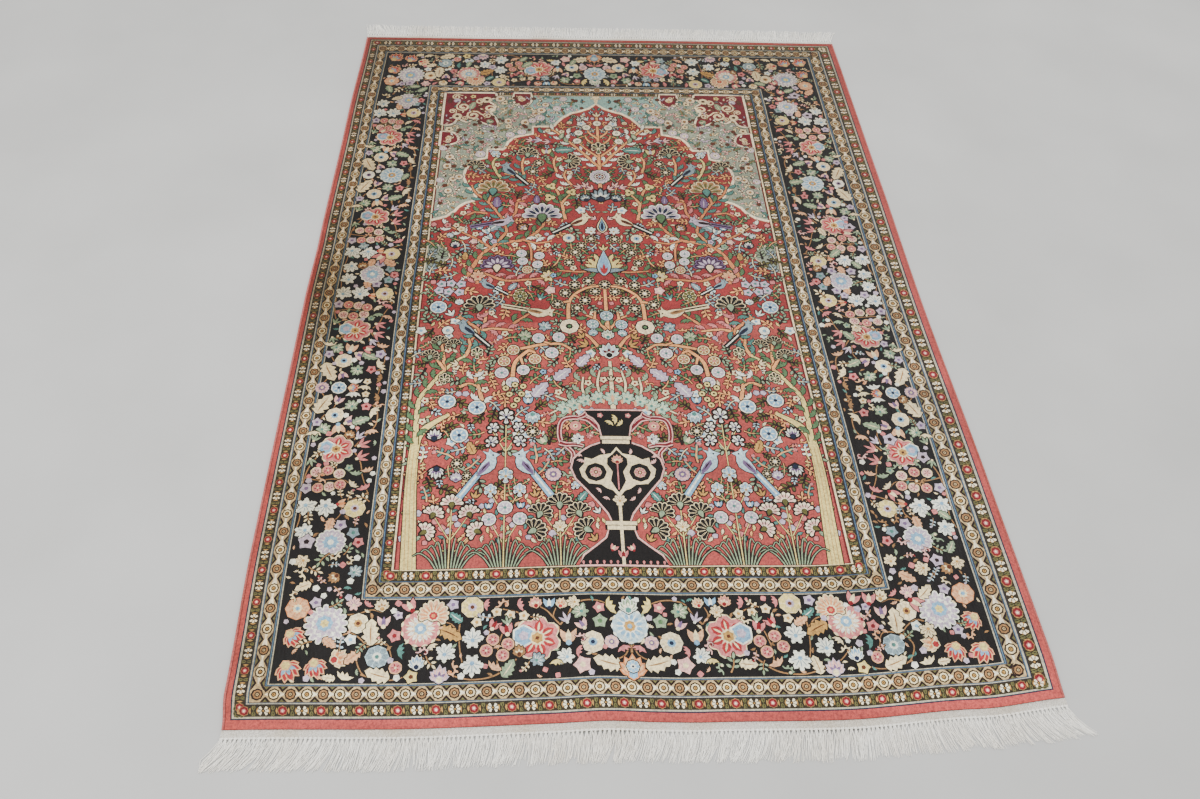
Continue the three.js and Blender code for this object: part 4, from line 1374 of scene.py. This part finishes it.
def field_fillers(box):
    half = points_of(ARCH)
    arch = [AXIS + z for z in half] + [complex(AXIS + 400, 100), complex(AXIS, 100)]

    def in_field(z, r):
        foot = -520 if r > 8 else -604
        return z.real > AXIS + r and z.imag > foot and (z.imag < 150 or point_in(arch, z + r * 1j))

    def in_spandrel(z, r):
        in_corner = r > 6 and z.real > AXIS + 240 and z.imag > 512
        return z.real > AXIS + r and z.imag > 170 and not in_corner and not point_in(arch, z - r * 1j)

    for a, b in zip(half, half[1:]):
        for share in np.linspace(0, 1, math.ceil(abs(b - a) / 8), endpoint=False):
            occupied.append((AXIS + a + (b - a) * share, 4.0))
    bounds = (AXIS, box[1] - 4, box[2] + 4, box[3] - 4)
    field = {"box": bounds, "test": in_field, "pens": mirrored_pens}
    spandrel = {"box": bounds, "test": in_spandrel, "pens": mirrored_pens}
    fillers(field, 5000, (14, 19), LARGE_FIELD, 20, 0.6, 1.8)
    fillers(field, 7000, (9, 13), SMALL_FIELD, 21, 0.64, 1.8)
    fillers(field, 9000, (5.2, 7.4), TINY_FIELD, 22, 0.8, 1.6)
    fillers(spandrel, 4000, (9, 13), SMALL_SPANDREL, 23, 0.7, 1.5)
    fillers(spandrel, 7000, (4.4, 6.4), TINY_SPANDREL, 24, 0.72, 1.0)


def point_in(polygon, z):
    inside = False
    a = polygon[-1]
    for b in polygon:
        if (a.imag > z.imag) != (b.imag > z.imag):
            if z.real < a.real + (z.imag - a.imag) * (b.real - a.real) / (b.imag - a.imag):
                inside = not inside
        a = b
    return inside


frames = band_frames()
rosette_guard(*frames["outer rosette guard"], (34, 23.5))
rosette_guard(*frames["inner rosette guard"], (34, 24.5))
floral_guard(*frames["outer floral guard"], 27.5)
floral_guard(*frames["inner floral guard"], 27.5)
main_border(*frames["main border"])
border_fillers(frames["main border"][0], inset_box(*frames["main border"]))
field_box = frames["field"][0]
field_ground(field_box)
ground_end = len(shapes)
for half in halves():
    trees(half)
    plants(half)
field_flowers()
for half in halves():
    handles(half)
vase(Pen(AXIS))
palmettes(Pen(AXIS))
for half in halves():
    birds(half)
fillers_start = len(shapes)
field_fillers(field_box)
shapes[ground_end:] = shapes[fillers_start:] + shapes[ground_end:fillers_start]


# Knotted pile: long panels of the cloth, each a flat net of its coloured outlines
def linear(yarn):
    """Reflectance of a yarn: deeper and stronger than the colour that it shows in a lit room."""
    rgb = np.array(YARNS[yarn]) / 255
    shown = np.where(rgb <= 0.04045, rgb / 12.92, ((rgb + 0.055) / 1.055) ** 2.4)
    return np.clip(0.96 * shown**1.16, 0.003, 0.9)


def mesh_object(name, points, faces, material):
    mesh = bpy.data.meshes.new(name)
    mesh.from_pydata(points.tolist() if hasattr(points, "tolist") else points, [], faces)
    piece = bpy.data.objects.new(name, mesh)
    bpy.context.collection.objects.link(piece)
    mesh.materials.append(material)
    return piece


def fold_map(obj, rows, gap=0.016):
    """Bake map of a long piece: its length cut into rows that lie side by side."""
    mesh = obj.data
    co = np.empty(3 * len(mesh.vertices))
    mesh.vertices.foreach_get("co", co)
    co = co.reshape(-1, 3)
    corners = np.empty(len(mesh.loops), int)
    mesh.loops.foreach_get("vertex_index", corners)
    sides = np.empty(len(mesh.polygons), int)
    mesh.polygons.foreach_get("loop_total", sides)
    middles = np.add.reduceat(co[corners, 1], np.concatenate([[0], np.cumsum(sides)[:-1]])) / sides
    low, high = co.min(0), co.max(0)
    share = (high[1] - low[1]) / rows
    row = np.clip((middles - low[1]) // share, 0, rows - 1).repeat(sides)
    across = co[corners, 0] - low[0] + gap + row * (high[0] - low[0] + gap)
    along = co[corners, 1] - low[1] - row * share + gap
    span = max(rows * (high[0] - low[0] + gap) + gap, share + 2 * gap)
    layer = mesh.uv_layers.new(name="OFBake")
    layer.data.foreach_set("uv", (np.stack([across, along], 1) / span).ravel())


def pile_height(u, v, x, y):
    edge = np.minimum(RUG_LENGTH / 2 - np.abs(v), RUG_WIDTH / 2 - SIDE_INSET - np.abs(u))
    rim = np.clip(1 - edge / RIM_WIDTH, 0, 1) ** 2
    return lift(x, y) + CLOTH_THICKNESS - RIM_DROP * rim


def to_frame(x, y, z):
    return np.stack([x + SHIFT[0], y + SHIFT[1], z], axis=-1) * MM


GRID = 15.0
LONGEST_EDGE = 16.0
JOIN_DISTANCE = 1e-4


def layered_net(left, right):
    """Triangles of all outlines laid over each other, and the code of the yarn that shows on each."""
    points = list(rectangle(left, right, -RUG_LENGTH / 2, RUG_LENGTH / 2))
    faces = [[0, 1, 2, 3]]
    yarns = ["margin"]
    for yarn, outline in shapes:
        if outline.real.max() < left or outline.real.min() > right:
            continue
        faces.append(list(range(len(points), len(points) + len(outline))))
        points.extend(anticlockwise(outline))
        yarns.append(yarn)
    flat, _, net, _, _, origins = delaunay_2d_cdt(
        [Vector((z.real, z.imag)) for z in points], [], faces, 1, JOIN_DISTANCE, True)
    codes = {name: code for code, name in enumerate(YARNS)}
    inside = [k for k, origin in enumerate(origins) if 0 in origin]
    shown = np.array([codes[yarns[max(origins[k])]] for k in inside])
    return np.array([tuple(p) for p in flat]), np.array([net[k] for k in inside]), shown


def colour_edges(net, colour):
    """Edges of a net that lie at its rim or between two yarns."""
    ends = np.sort(np.concatenate([net[:, [0, 1]], net[:, [1, 2]], net[:, [2, 0]]]), axis=1)
    sides = np.tile(colour, 3)
    order = np.lexsort((ends[:, 1], ends[:, 0]))
    ends, sides = ends[order], sides[order]
    same = np.all(ends[1:] == ends[:-1], axis=1)
    hidden = same & (sides[1:] == sides[:-1])
    drop = np.zeros(len(ends), bool)
    drop[1:] |= same
    drop[:-1] |= hidden
    return ends[~drop]


def divided_edges(points, edges):
    """Cuts long edges up, so that the net follows the cloth: the points that are used and the new edges."""
    used, ends = np.unique(edges, return_inverse=True)
    points, edges = points[used], ends.reshape(edges.shape)
    span = np.linalg.norm(points[edges[:, 0]] - points[edges[:, 1]], axis=1)
    extra, out = [], [edges[span <= LONGEST_EDGE]]
    count = len(points)
    for a, b in edges[span > LONGEST_EDGE]:
        parts = math.ceil(np.linalg.norm(points[a] - points[b]) / LONGEST_EDGE)
        share = np.arange(1, parts)[:, None] / parts
        extra.append(points[a] + (points[b] - points[a]) * share)
        chain = np.concatenate([[a], count + np.arange(parts - 1), [b]])
        out.append(np.stack([chain[:-1], chain[1:]], -1))
        count += parts - 1
    return np.concatenate([points] + extra), np.concatenate(out)


def pile_net(left, right):
    """Triangles of one panel and the yarn of each, with the lines between equal yarns left out."""
    near, far = -RUG_LENGTH / 2, RUG_LENGTH / 2
    flat, net, colour = layered_net(left, right)
    spots, edges = divided_edges(flat, colour_edges(net, colour))
    us = np.linspace(left, right, int((right - left) / GRID) + 2)
    ends = [near + 1, near + RIM_WIDTH, far - RIM_WIDTH, far - 1]
    vs = list(np.linspace(near, far, int((far - near) / GRID) + 2)) + ends
    points = np.concatenate([spots, [(u, v) for v in vs for u in us]])
    spots, _, triangles, _, _, _ = delaunay_2d_cdt(
        [Vector(p) for p in points], edges.tolist(), [], 0, JOIN_DISTANCE, False)
    spots, triangles = np.array([tuple(p) for p in spots]), np.array(triangles)

    # The yarn under each new triangle's middle
    tree = BVHTree.FromPolygons([(x, y, 0) for x, y in flat], net.tolist(), all_triangles=True)
    found = [tree.ray_cast((x, y, 1), (0, 0, -1), 2)[2] for x, y in spots[triangles].mean(axis=1)]
    keep = np.array([k is not None for k in found])
    return spots, triangles[keep], colour[[k for k in found if k is not None]]


def pile_panel(name, left, right, material):
    flat, net, colour = pile_net(left, right)
    u, v = flat.T
    x, y = cloth_point(u, v)
    points = to_frame(x, y, pile_height(u, v, x, y))
    piece = mesh_object(name, points, net.tolist(), material)
    palette = np.array([list(linear(yarn)) + [1.0] for yarn in YARNS])
    paint = piece.data.color_attributes.new("yarn", "FLOAT_COLOR", "CORNER")
    paint.data.foreach_set("color", np.repeat(palette[colour], 3, axis=0).astype(np.float32).ravel())
    fold_map(piece, 3)
    return piece


# Materials, in metres
KNOT = 0.0013
WAVES_PER_METRE = TAU / 20 / KNOT
STAIN_PLACE = (-0.6, -0.015, 0.005)
LEFT_SIDE_BROWN = (0.66, 0.58, 0.44, 1)
STAIN_OLIVE = (0.42, 0.34, 0.2, 1)
YARN_SOIL = (0.72, 0.62, 0.47, 1)
BRIGHTEST_PILE = (0.92, 0.92, 0.9, 1)

# Painted sheen and shade of the silk's lie: the pile is painted lighter at the near end and darker and
# warmer up the rug
PAINTED_SHEEN_AND_SHADE = (
    (0, (1.3, 1.3, 1.25)), (0.2, (1.14, 1.13, 1.1)), (0.45, (0.96, 0.93, 0.9)), (0.8, (0.78, 0.72, 0.65)),
    (1, (0.58, 0.53, 0.45)),
)


class Shading:
    """A material and its nodes; a value given to a node is a number, a colour or another node's output."""

    def __init__(self, name):
        self.material = bpy.data.materials.new(name)
        self.material.use_nodes = True
        self.nodes = self.material.node_tree.nodes
        self.shader = self.nodes["Principled BSDF"]
        self.place = self.add("TexCoord").outputs["Object"]
        self.x, self.y, _ = self.add("SeparateXYZ", Vector=self.place).outputs

    def put(self, socket, value):
        if isinstance(value, bpy.types.NodeSocket):
            self.material.node_tree.links.new(value, socket)
        else:
            socket.default_value = value

    def add(self, kind, **inputs):
        node = self.nodes.new("ShaderNode" + kind)
        for name, value in inputs.items():
            self.put(node.inputs[name.replace("_", " ")], value)
        return node

    def operation(self, kind, operation, first, second):
        node = self.add(kind)
        node.operation = operation
        self.put(node.inputs[0], first)
        self.put(node.inputs[1], second)
        return node.outputs

    def calc(self, operation, first, second=0.0):
        return self.operation("Math", operation, first, second)["Value"]

    def mixed(self, kind, share, first, second):
        node = self.add("Mix")
        node.data_type, node.blend_type = "RGBA", kind
        for key, value in ((0, share), (6, first), (7, second)):
            self.put(node.inputs[key], value)
        return node.outputs[2]

    def times(self, colour, *tones):
        for tone in tones:
            colour = self.mixed("MULTIPLY", 1.0, colour, tone)
        return colour

    def noise(self, scale, detail=3.0, stretch=(1, 1, 1)):
        """Noise between 0 and 1, finer along the axes that are stretched more."""
        place = self.add("Mapping", Vector=self.place, Scale=stretch).outputs["Vector"]
        return self.add("TexNoise", Vector=place, Scale=scale, Detail=detail).outputs["Fac"]

    def ramp(self, value, *stops):
        """Colours over a value: (value, grey or colour) in rising order."""
        node = self.add("ValToRGB", Fac=value)
        elements = node.color_ramp.elements
        while len(elements) < len(stops):
            elements.new(0.5)
        for element, (place, colour) in zip(elements, stops):
            element.position = place
            element.color = (*((colour,) * 3 if isinstance(colour, (int, float)) else colour), 1)
        return node.outputs["Color"]

    def ranged(self, value, low, high, to_low, to_high):
        node = self.add("MapRange", Value=value, From_Min=low, From_Max=high, To_Min=to_low, To_Max=to_high)
        return node.outputs["Result"]

    def knots(self):
        """A random grey for each knot, and the knots' rounded height."""
        spot = self.operation("VectorMath", "SNAP", self.place, (KNOT, KNOT, 1))["Vector"]
        waves = []
        for axis in "XY":
            wave = self.add("TexWave", Vector=self.place, Scale=WAVES_PER_METRE, Distortion=0.6)
            wave.bands_direction = axis
            waves.append(wave.outputs["Fac"])
        return self.add("TexWhiteNoise", Vector=spot).outputs["Value"], self.calc("MULTIPLY", *waves)

    def finished(self, relief, strength, distance, **inputs):
        """The material, with its relief and the values of its surface."""
        bump = self.add("Bump", Height=relief, Strength=strength, Distance=distance)
        for name, value in inputs.items():
            self.put(self.shader.inputs[name.replace("_", " ")], value)
        self.put(self.shader.inputs["Normal"], bump.outputs["Normal"])
        return self.material


def pile_material():
    m = Shading("silk_pile")
    yarn = m.add("VertexColor")
    yarn.layer_name = "yarn"
    knot, relief = m.knots()
    bands = m.noise(5.0, 4.0, (0.15, 3.2, 1))
    mottle = m.noise(230.0, 2.0)
    patches = m.noise(7.0)
    streaks = m.noise(60.0, 2.0, (6, 1, 1))

    # Uneven dye: bands across the rug where a new lot of yarn starts, single knots and soft patches; and
    # painted sheen and shade, lighter at the near end and darker up the rug
    colour = m.times(
        yarn.outputs["Color"],
        m.ramp(bands, (0.3, 0.8), (0.5, 0.97), (0.7, 1.14)),
        m.ramp(knot, (0, 0.8), (1, 1.16)),
        m.ramp(mottle, (0.34, (0.72, 0.71, 0.74)), (0.48, (0.98, 0.98, 0.98)), (0.64, (1.16, 1.14, 1.06))),
        m.ramp(patches, (0.3, 0.86), (0.7, 1.08)),
        # Painted sheen and shade: lighter at the near end, darker and warmer up the rug
        m.ramp(m.ranged(m.y, -0.9, 0.9, 0, 1), *PAINTED_SHEEN_AND_SHADE),
        m.ramp(streaks, (0.25, 0.86), (0.75, 1.1)),
    )

    # Browner and darker along the left side, and a stain on it
    aside = m.calc("ADD", m.x, m.ranged(patches, 0.3, 0.7, -0.06, 0.06))
    colour = m.mixed("MULTIPLY", m.ranged(aside, -0.6, -0.42, 0.6, 0), colour, LEFT_SIDE_BROWN)
    away = m.operation("VectorMath", "DISTANCE", m.place, STAIN_PLACE)["Value"]
    away = m.calc("ADD", away, m.ranged(patches, 0.3, 0.7, -0.05, 0.05))
    colour = m.mixed("MULTIPLY", m.ranged(away, 0.02, 0.24, 0.75, 0), colour, STAIN_OLIVE)
    colour = m.mixed("DARKEN", 1.0, colour, BRIGHTEST_PILE)
    return m.finished(relief, 0.35, 0.0004, Base_Color=colour, Specular_IOR_Level=0.16, Sheen_Weight=0.05,
                      Roughness=m.ramp(streaks, (0.25, 0.42), (0.75, 0.68)), Sheen_Roughness=0.35)


def yarn_material(name, dark, light, scale, stretch, bump, soil=0.0, woven=False):
    """Spun yarn: strands of two tones along the piece, fine fibres, soil, and a plain weave if woven, with
    painted shade in its low places.
    """
    m = Shading(name)
    strands = m.noise(scale, 2.0, stretch)
    fibres = m.noise(2600.0, 2.0)
    colour = m.times(m.ramp(strands, (0.3, dark), (0.7, light)), m.ramp(fibres, (0.3, 0.82), (0.7, 1.06)))
    colour = m.mixed("MULTIPLY", m.ranged(m.noise(9.0), 0.45, 0.75, 0, soil), colour, YARN_SOIL)
    if woven:
        over, relief = m.knots()
        # The weave's low places are painted darker: painted shade in the hollows between the threads
        colour = m.times(colour, m.ramp(over, (0, 0.66), (1, 1.06)), m.ramp(relief, (0, 0.7), (0.5, 1.0)))
    else:
        relief = m.calc("ADD", fibres, strands)
    return m.finished(relief, bump, 0.0003, Base_Color=colour, Specular_IOR_Level=0.2, Sheen_Weight=0.1,
                      Roughness=m.ramp(fibres, (0.3, 0.62), (0.7, 0.88)))


# Back: (share of the way from the rim to the field, yarn), and blooms as (cells a metre, radius, yarns)
BACK_REACH = 0.27
BACK_GROUND = (
    (0, "margin"), (0.05, "margin"), (0.06, "tan"), (0.19, "cream"), (0.21, "night"), (0.71, "night"),
    (0.73, "cream"), (0.8, "guard"), (0.9, "field"), (1, "field"),
)
BACK_BLOOMS = (
    (75.0, 0.32, ((0, "sage"), (0.3, "tan"), (0.5, "mist"), (0.7, "rose"), (0.85, "olive"))),
    (34.0, 0.3, ((0, "cream"), (0.3, "rose"), (0.5, "sky"), (0.7, "sage"), (0.85, "peach"))),
)


def back_material():
    """Knotted back: bare knots in the design's bands and yarns, with round blooms in the wide bands."""
    def tones(stops):
        return [(place, tuple(linear(yarn))) for place, yarn in stops]

    m = Shading("knotted_back")
    knot, relief = m.knots()
    from_side = m.calc("SUBTRACT", RUG_WIDTH / 2 * MM, m.calc("ABSOLUTE", m.x))
    from_end = m.calc("SUBTRACT", RUG_LENGTH / 2 * MM, m.calc("ABSOLUTE", m.y))
    depth = m.calc("MINIMUM", from_side, from_end)
    colour = m.ramp(m.ranged(depth, 0, BACK_REACH, 0, 1), *tones(BACK_GROUND))
    off_guard = m.calc("GREATER_THAN", m.calc("ABSOLUTE", m.calc("SUBTRACT", depth, 0.206)), 0.012)
    wide = m.calc("MULTIPLY", m.ranged(depth, 0.064, 0.066, 0, 1), off_guard)
    for scale, radius, yarns in BACK_BLOOMS:
        cells = m.add("TexVoronoi", Vector=m.place, Scale=scale)
        cells.voronoi_dimensions = "2D"
        away = cells.outputs["Distance"]
        chance = m.calc("FRACT", m.calc("MULTIPLY", cells.outputs["Color"], 3.0))
        petals = m.ramp(chance, *tones(yarns))
        head = m.mixed("MIX", m.ranged(away, 0.1, 0.13, 1, 0), petals, (*linear("wine"), 1))
        share = m.calc("MULTIPLY", m.ranged(away, radius, radius + 0.04, 0.85, 0), wide)
        colour = m.mixed("MIX", share, colour, head)
    return m.finished(relief, 0.5, 0.0005, Base_Color=m.times(colour, m.ramp(knot, (0, 0.7), (1, 1.1))),
                      Roughness=m.ramp(knot, (0, 0.6), (1, 0.9)), Specular_IOR_Level=0.15)


def settle(piece, node):
    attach(piece, "root")
    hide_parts(node)
    return piece


inner_left, inner_right = field_box[0], field_box[1]
third = (inner_right - inner_left) / 3
cuts = (-RUG_WIDTH / 2 + SIDE_INSET, inner_left, inner_left + third, inner_right - third, inner_right,
        RUG_WIDTH / 2 - SIDE_INSET)
names = (
    "pile_border_left", "pile_field_left", "pile_field_middle", "pile_field_right", "pile_border_right",
)
silk = pile_material()
for name, left, right in zip(names, cuts, cuts[1:]):
    settle(pile_panel(name, left, right, silk), "rug")


# Foundation: the cloth's body under the pile, closed, with its knotted back on the floor side
CLOTH_GRID = (63, 90)
PILE_COVER = 0.25


def foundation(material):
    columns, rows = CLOTH_GRID
    us = np.linspace(-RUG_WIDTH / 2 + SIDE_INSET, RUG_WIDTH / 2 - SIDE_INSET, columns)
    vs = np.linspace(-RUG_LENGTH / 2, RUG_LENGTH / 2, rows)
    u, v = np.meshgrid(us, vs)
    x, y = cloth_point(u, v)
    base = lift(x, y)
    layers = [to_frame(x, y, base + CLOTH_THICKNESS - RIM_DROP - PILE_COVER), to_frame(x, y, base)]
    points = np.concatenate([layer.reshape(-1, 3) for layer in layers])
    return mesh_object("rug_foundation", points, slab_faces(columns, rows), material)


def slab_faces(columns, rows):
    """Faces of a closed slab: an upper grid of points and then a lower one."""
    count = columns * rows
    grid = np.arange(count).reshape(rows, columns)
    a, b, c, d = grid[:-1, :-1], grid[:-1, 1:], grid[1:, 1:], grid[1:, :-1]
    top = np.stack([a, b, c, d], -1).reshape(-1, 4)
    bottom = np.stack([a, d, c, b], -1).reshape(-1, 4) + count
    rim = np.concatenate([grid[0, :], grid[1:, -1], grid[-1, -2::-1], grid[-2:0:-1, 0]])
    ahead = np.roll(rim, -1)
    sides = np.stack([rim, rim + count, ahead + count, ahead], -1)
    return np.concatenate([top, bottom, sides]).tolist()


def tubes(name, spines, radii, heights, sides, material, turn=0.0):
    """Closed tubes along many spines at once: spines is (tubes, rings, 3), in millimetres of the frame."""
    count, rings, _ = spines.shape
    heading = np.gradient(spines, axis=1)
    heading[..., 2] = 0
    heading /= np.maximum(np.linalg.norm(heading, axis=2, keepdims=True), 1e-6)
    across = np.stack([heading[..., 1], -heading[..., 0], np.zeros((count, rings))], -1)
    angle = np.arange(sides) * TAU / sides + turn
    loop = across[:, :, None] * (radii[:, :, None] * np.cos(angle))[..., None]
    loop = loop + np.array([0, 0, 1.0]) * (heights[:, :, None] * np.sin(angle))[..., None]
    points = (spines[:, :, None] + loop).reshape(-1, 3) * MM
    tube_start = (np.arange(count) * rings * sides)[:, None, None]
    first = tube_start + (np.arange(rings - 1) * sides)[None, :, None]
    k = np.arange(sides)[None, None, :]
    a = first + k
    b = first + (k + 1) % sides
    faces = np.stack([a, b, b + sides, a + sides], -1).reshape(-1, 4).tolist()
    for t in range(count):
        start = t * rings * sides
        faces.append([start + i for i in range(sides)][::-1])
        faces.append([start + (rings - 1) * sides + i for i in range(sides)])
    return mesh_object(name, points, faces, material)


# Overcast edges: red yarn wrapped round the outer warps
WRAP_PITCH = 2.6
WAIST = 0.8


def overcast(name, side, material):
    wraps = int(RUG_LENGTH / WRAP_PITCH)
    rings = 2 * wraps + 1
    along = np.linspace(0, 1, rings)
    straight = -RUG_LENGTH / 2 + RUG_LENGTH * along
    outer = left_edge(straight) if side < 0 else right_edge(straight)
    centre = outer - side * CORD_WIDTH / 2
    y = near_edge(outer) + (far_edge(outer) - near_edge(outer)) * along
    swell = np.where(np.arange(rings) % 2 == 0, WAIST, 1.0)
    radius = CORD_WIDTH / 2 * swell
    height = CORD_HEIGHT / 2 * swell
    z = lift(centre, y) + CORD_HEIGHT / 2
    spine = np.stack([centre + SHIFT[0], y + SHIFT[1], z], -1)[None]
    return tubes(name, spine, radius[None], height[None], 6, material)


# Woven strips and fringes
STRANDS_PER_BUNCH = 7
BUNCHES = 190
NEAR_THREAD = 44
FAR_THREAD = 50
FRINGE_ENDS = (-646, 658)
STRIP_GRID = (621, 6)
WEAVE_HEIGHT = 0.22
STRAND_RADIUS = 0.52

# Stations along a strand, as shares of its length, and its radius at each as a share
STRAND_STATIONS = (0, 0.08, 0.24, 0.5, 0.78, 1)
STRAND_TAPER = (1, 1, 0.98, 0.94, 0.88, 0.7)


def strip_edge(side, x):
    edge = near_edge(x) if side < 0 else far_edge(x)
    return edge + side * GAP, lift(x, edge)


def strip(name, side, material):
    left, right = left_edge(side * RUG_LENGTH / 2), right_edge(side * RUG_LENGTH / 2)
    columns, rows = STRIP_GRID
    x, depth = np.meshgrid(np.linspace(left, right, columns), np.linspace(0, STRIP_DEPTH, rows))
    edge, base = strip_edge(side, x)
    column = np.arange(columns)[None, :]
    row = np.arange(rows)[:, None]
    weave = WEAVE_HEIGHT * np.cos(math.pi * (column + row)) * np.ones_like(x)
    weave[0], weave[-1] = -0.2, -0.3
    top = base + STRIP_THICKNESS - 0.25 + weave
    y = edge + side * depth
    layers = [to_frame(x, y, top), to_frame(x, y, base)]
    points = np.concatenate([layer.reshape(-1, 3) for layer in layers])
    faces = slab_faces(columns, rows)
    if side < 0:
        faces = [f[::-1] for f in faces]
    return mesh_object(name, points, faces, material)


def fringe(name, side, lean, length, seed, material):
    """Warp ends: bunches knotted at the strip, whose strands lean, part and cross towards their tips."""
    random = np.random.default_rng(seed)
    left, right = left_edge(side * RUG_LENGTH / 2) + 3, right_edge(side * RUG_LENGTH / 2) - 3
    count = BUNCHES * STRANDS_PER_BUNCH
    root = np.linspace(left, right, BUNCHES)
    bunch = root.repeat(STRANDS_PER_BUNCH)
    place = np.tile(np.linspace(-1, 1, STRANDS_PER_BUNCH), BUNCHES)
    pitch = (right - left) / BUNCHES
    edge, base = strip_edge(side, bunch)
    share = np.array(STRAND_STATIONS)[None, :]
    drift = np.interp(root, np.linspace(left, right, 60), random.normal(0, 4.5, 60))
    own_lean = (read_table(lean, root) + drift + random.normal(0, 2.4, BUNCHES)).repeat(STRANDS_PER_BUNCH)
    stray = random.normal(0, 2.0, count)
    stray = stray + np.where(random.random(count) < 0.05, random.normal(0, 11, count), 0)
    own_lean = own_lean + stray
    own_length = length + random.normal(0, 2.2, BUNCHES).repeat(STRANDS_PER_BUNCH)
    own_length = own_length + random.normal(0, 1.6, count)
    gather = 0.3 + 0.3 * np.clip(share * 3, 0, 1)
    gather = np.where(share == STRAND_STATIONS[1], 0.14, gather)
    x = bunch[:, None] + place[:, None] * pitch * gather + own_lean[:, None] * share**1.8
    x = x + random.normal(0, 0.7, (count, 1)) * np.sin(share * 8 + random.random((count, 1)) * 6)
    x = np.clip(x, FRINGE_ENDS[0], FRINGE_ENDS[1])
    own_length = np.minimum(own_length, length + 4)
    y = edge[:, None] + side * (STRIP_DEPTH - 2.5 + own_length[:, None] * share)
    layer = random.integers(0, 3, count)[:, None] * 0.55
    z = 0.45 + layer + base[:, None] * (1 - share) ** 3 + 1.2 * np.exp(-(((share - 0.04) * 12) ** 2))
    spines = np.stack([x + SHIFT[0], y + SHIFT[1], z], -1)
    radii = np.full((count, len(STRAND_TAPER)), STRAND_RADIUS) * np.array(STRAND_TAPER)
    return tubes(name, spines, radii, radii * 0.9, 4, material)


def knot_row(name, side, material):
    """Row of knots that ties the warp ends at the strip's outer line."""
    left, right = left_edge(side * RUG_LENGTH / 2) + 3, right_edge(side * RUG_LENGTH / 2) - 3
    middle = np.linspace(left, right, BUNCHES)
    pitch = (right - left) / BUNCHES
    edge, base = strip_edge(side, middle)
    share = np.linspace(-0.5, 0.5, 4)[None, :]
    tilt = 0.35 * np.cos(math.pi * np.arange(BUNCHES))[:, None]
    x = middle[:, None] + share * pitch * 0.92
    y = edge[:, None] + side * (STRIP_DEPTH - 0.9) + share * tilt * 2
    z = base[:, None] + 1.5 + 0 * share
    spines = np.stack([x + SHIFT[0], y + SHIFT[1], z], -1)
    radii = 1.35 * np.sqrt(np.clip(1 - (1.7 * share) ** 2, 0.12, 1)) + 0 * x
    return tubes(name, spines, radii, radii * 0.95, 5, material)


body = settle(foundation(back_material()), "rug")
red_yarn = yarn_material(
    "overcast_yarn", (0.26, 0.05, 0.045), (0.5, 0.13, 0.11), 420.0, (1, 1, 1), 0.6, 0.8)
strip_cotton = yarn_material(
    "strip_cotton", (0.7, 0.65, 0.55), (0.9, 0.87, 0.8), 700.0, (1, 0.4, 1), 0.6, 0.8, woven=True)
cotton = yarn_material(
    "fringe_cotton", (0.8, 0.77, 0.7), (0.97, 0.96, 0.91), 900.0, (1, 0.12, 1), 0.5, 0.3)
settle(overcast("overcast_left", -1, red_yarn), "selvedge_left")
settle(overcast("overcast_right", 1, red_yarn), "selvedge_right")
strips = [settle(strip("strip_near", -1, strip_cotton), "fringe_near"),
          settle(strip("strip_far", 1, strip_cotton), "fringe_far")]
settle(fringe("threads_near", -1, NEAR_LEAN, NEAR_THREAD, 5, cotton), "fringe_near")
settle(fringe("threads_far", 1, FAR_LEAN, FAR_THREAD, 6, cotton), "fringe_far")
settle(knot_row("knots_near", -1, cotton), "fringe_near")
settle(knot_row("knots_far", 1, cotton), "fringe_far")


# Floor, light and camera
FLOOR_REACH = 30
FLOOR_DROP = 0.0004
CAMERA_PLACE = (-153.163, -1314.782, 1331.333)
CAMERA_HEADING = -5.386
CAMERA_TILT = 37.28
CAMERA_ROLL = 3.623


def floor():
    m = Shading("floor")
    tone = m.ramp(m.noise(3.0, 6.0), (0.3, (0.4, 0.4, 0.39)), (0.7, (0.45, 0.45, 0.44)))
    m.put(m.shader.inputs["Base Color"], tone)
    m.put(m.shader.inputs["Roughness"], 0.9)
    corners = [(x * FLOOR_REACH, y * FLOOR_REACH, 0) for x, y in ((-1, -1), (1, -1), (1, 1), (-1, 1))]
    piece = mesh_object("floor", corners, [(0, 1, 2, 3)], m.material)
    piece.location.z = -FLOOR_DROP


def lamp(name, place, power):
    """Large soft square lamp, turned to the middle of the rug."""
    data = bpy.data.lights.new(name, "AREA")
    data.size, data.energy = 2.5, power
    piece = bpy.data.objects.new(name, data)
    piece.location = place
    piece.rotation_euler = (-Vector(place)).to_track_quat("-Z", "Y").to_euler()
    bpy.context.collection.objects.link(piece)


def sky():
    world = bpy.data.worlds.new("sky")
    world.use_nodes = True
    background = world.node_tree.nodes["Background"]
    background.inputs["Color"].default_value = (1.0, 0.99, 0.97, 1)
    background.inputs["Strength"].default_value = 1.15
    bpy.context.scene.world = world


def camera():
    data = bpy.data.cameras.new("camera")
    data.lens, data.sensor_width = 27, 36
    data.clip_end = 50
    piece = bpy.data.objects.new("camera", data)
    bpy.context.collection.objects.link(piece)
    x, y, z = CAMERA_PLACE
    turn = Matrix.Identity(4)
    for angle, axis in ((CAMERA_HEADING, "Z"), (CAMERA_TILT, "X"), (CAMERA_ROLL, "Z")):
        turn = turn @ Matrix.Rotation(math.radians(angle), 4, axis)
    piece.matrix_world = Matrix.Translation(Vector((x + SHIFT[0], y + SHIFT[1], z)) * MM) @ turn
    bpy.context.scene.camera = piece


floor()
sky()
lamp("key", (-1.5, -1.0, 3.2), 150)
lamp("fill", (2.2, 1.4, 2.8), 70)
camera()
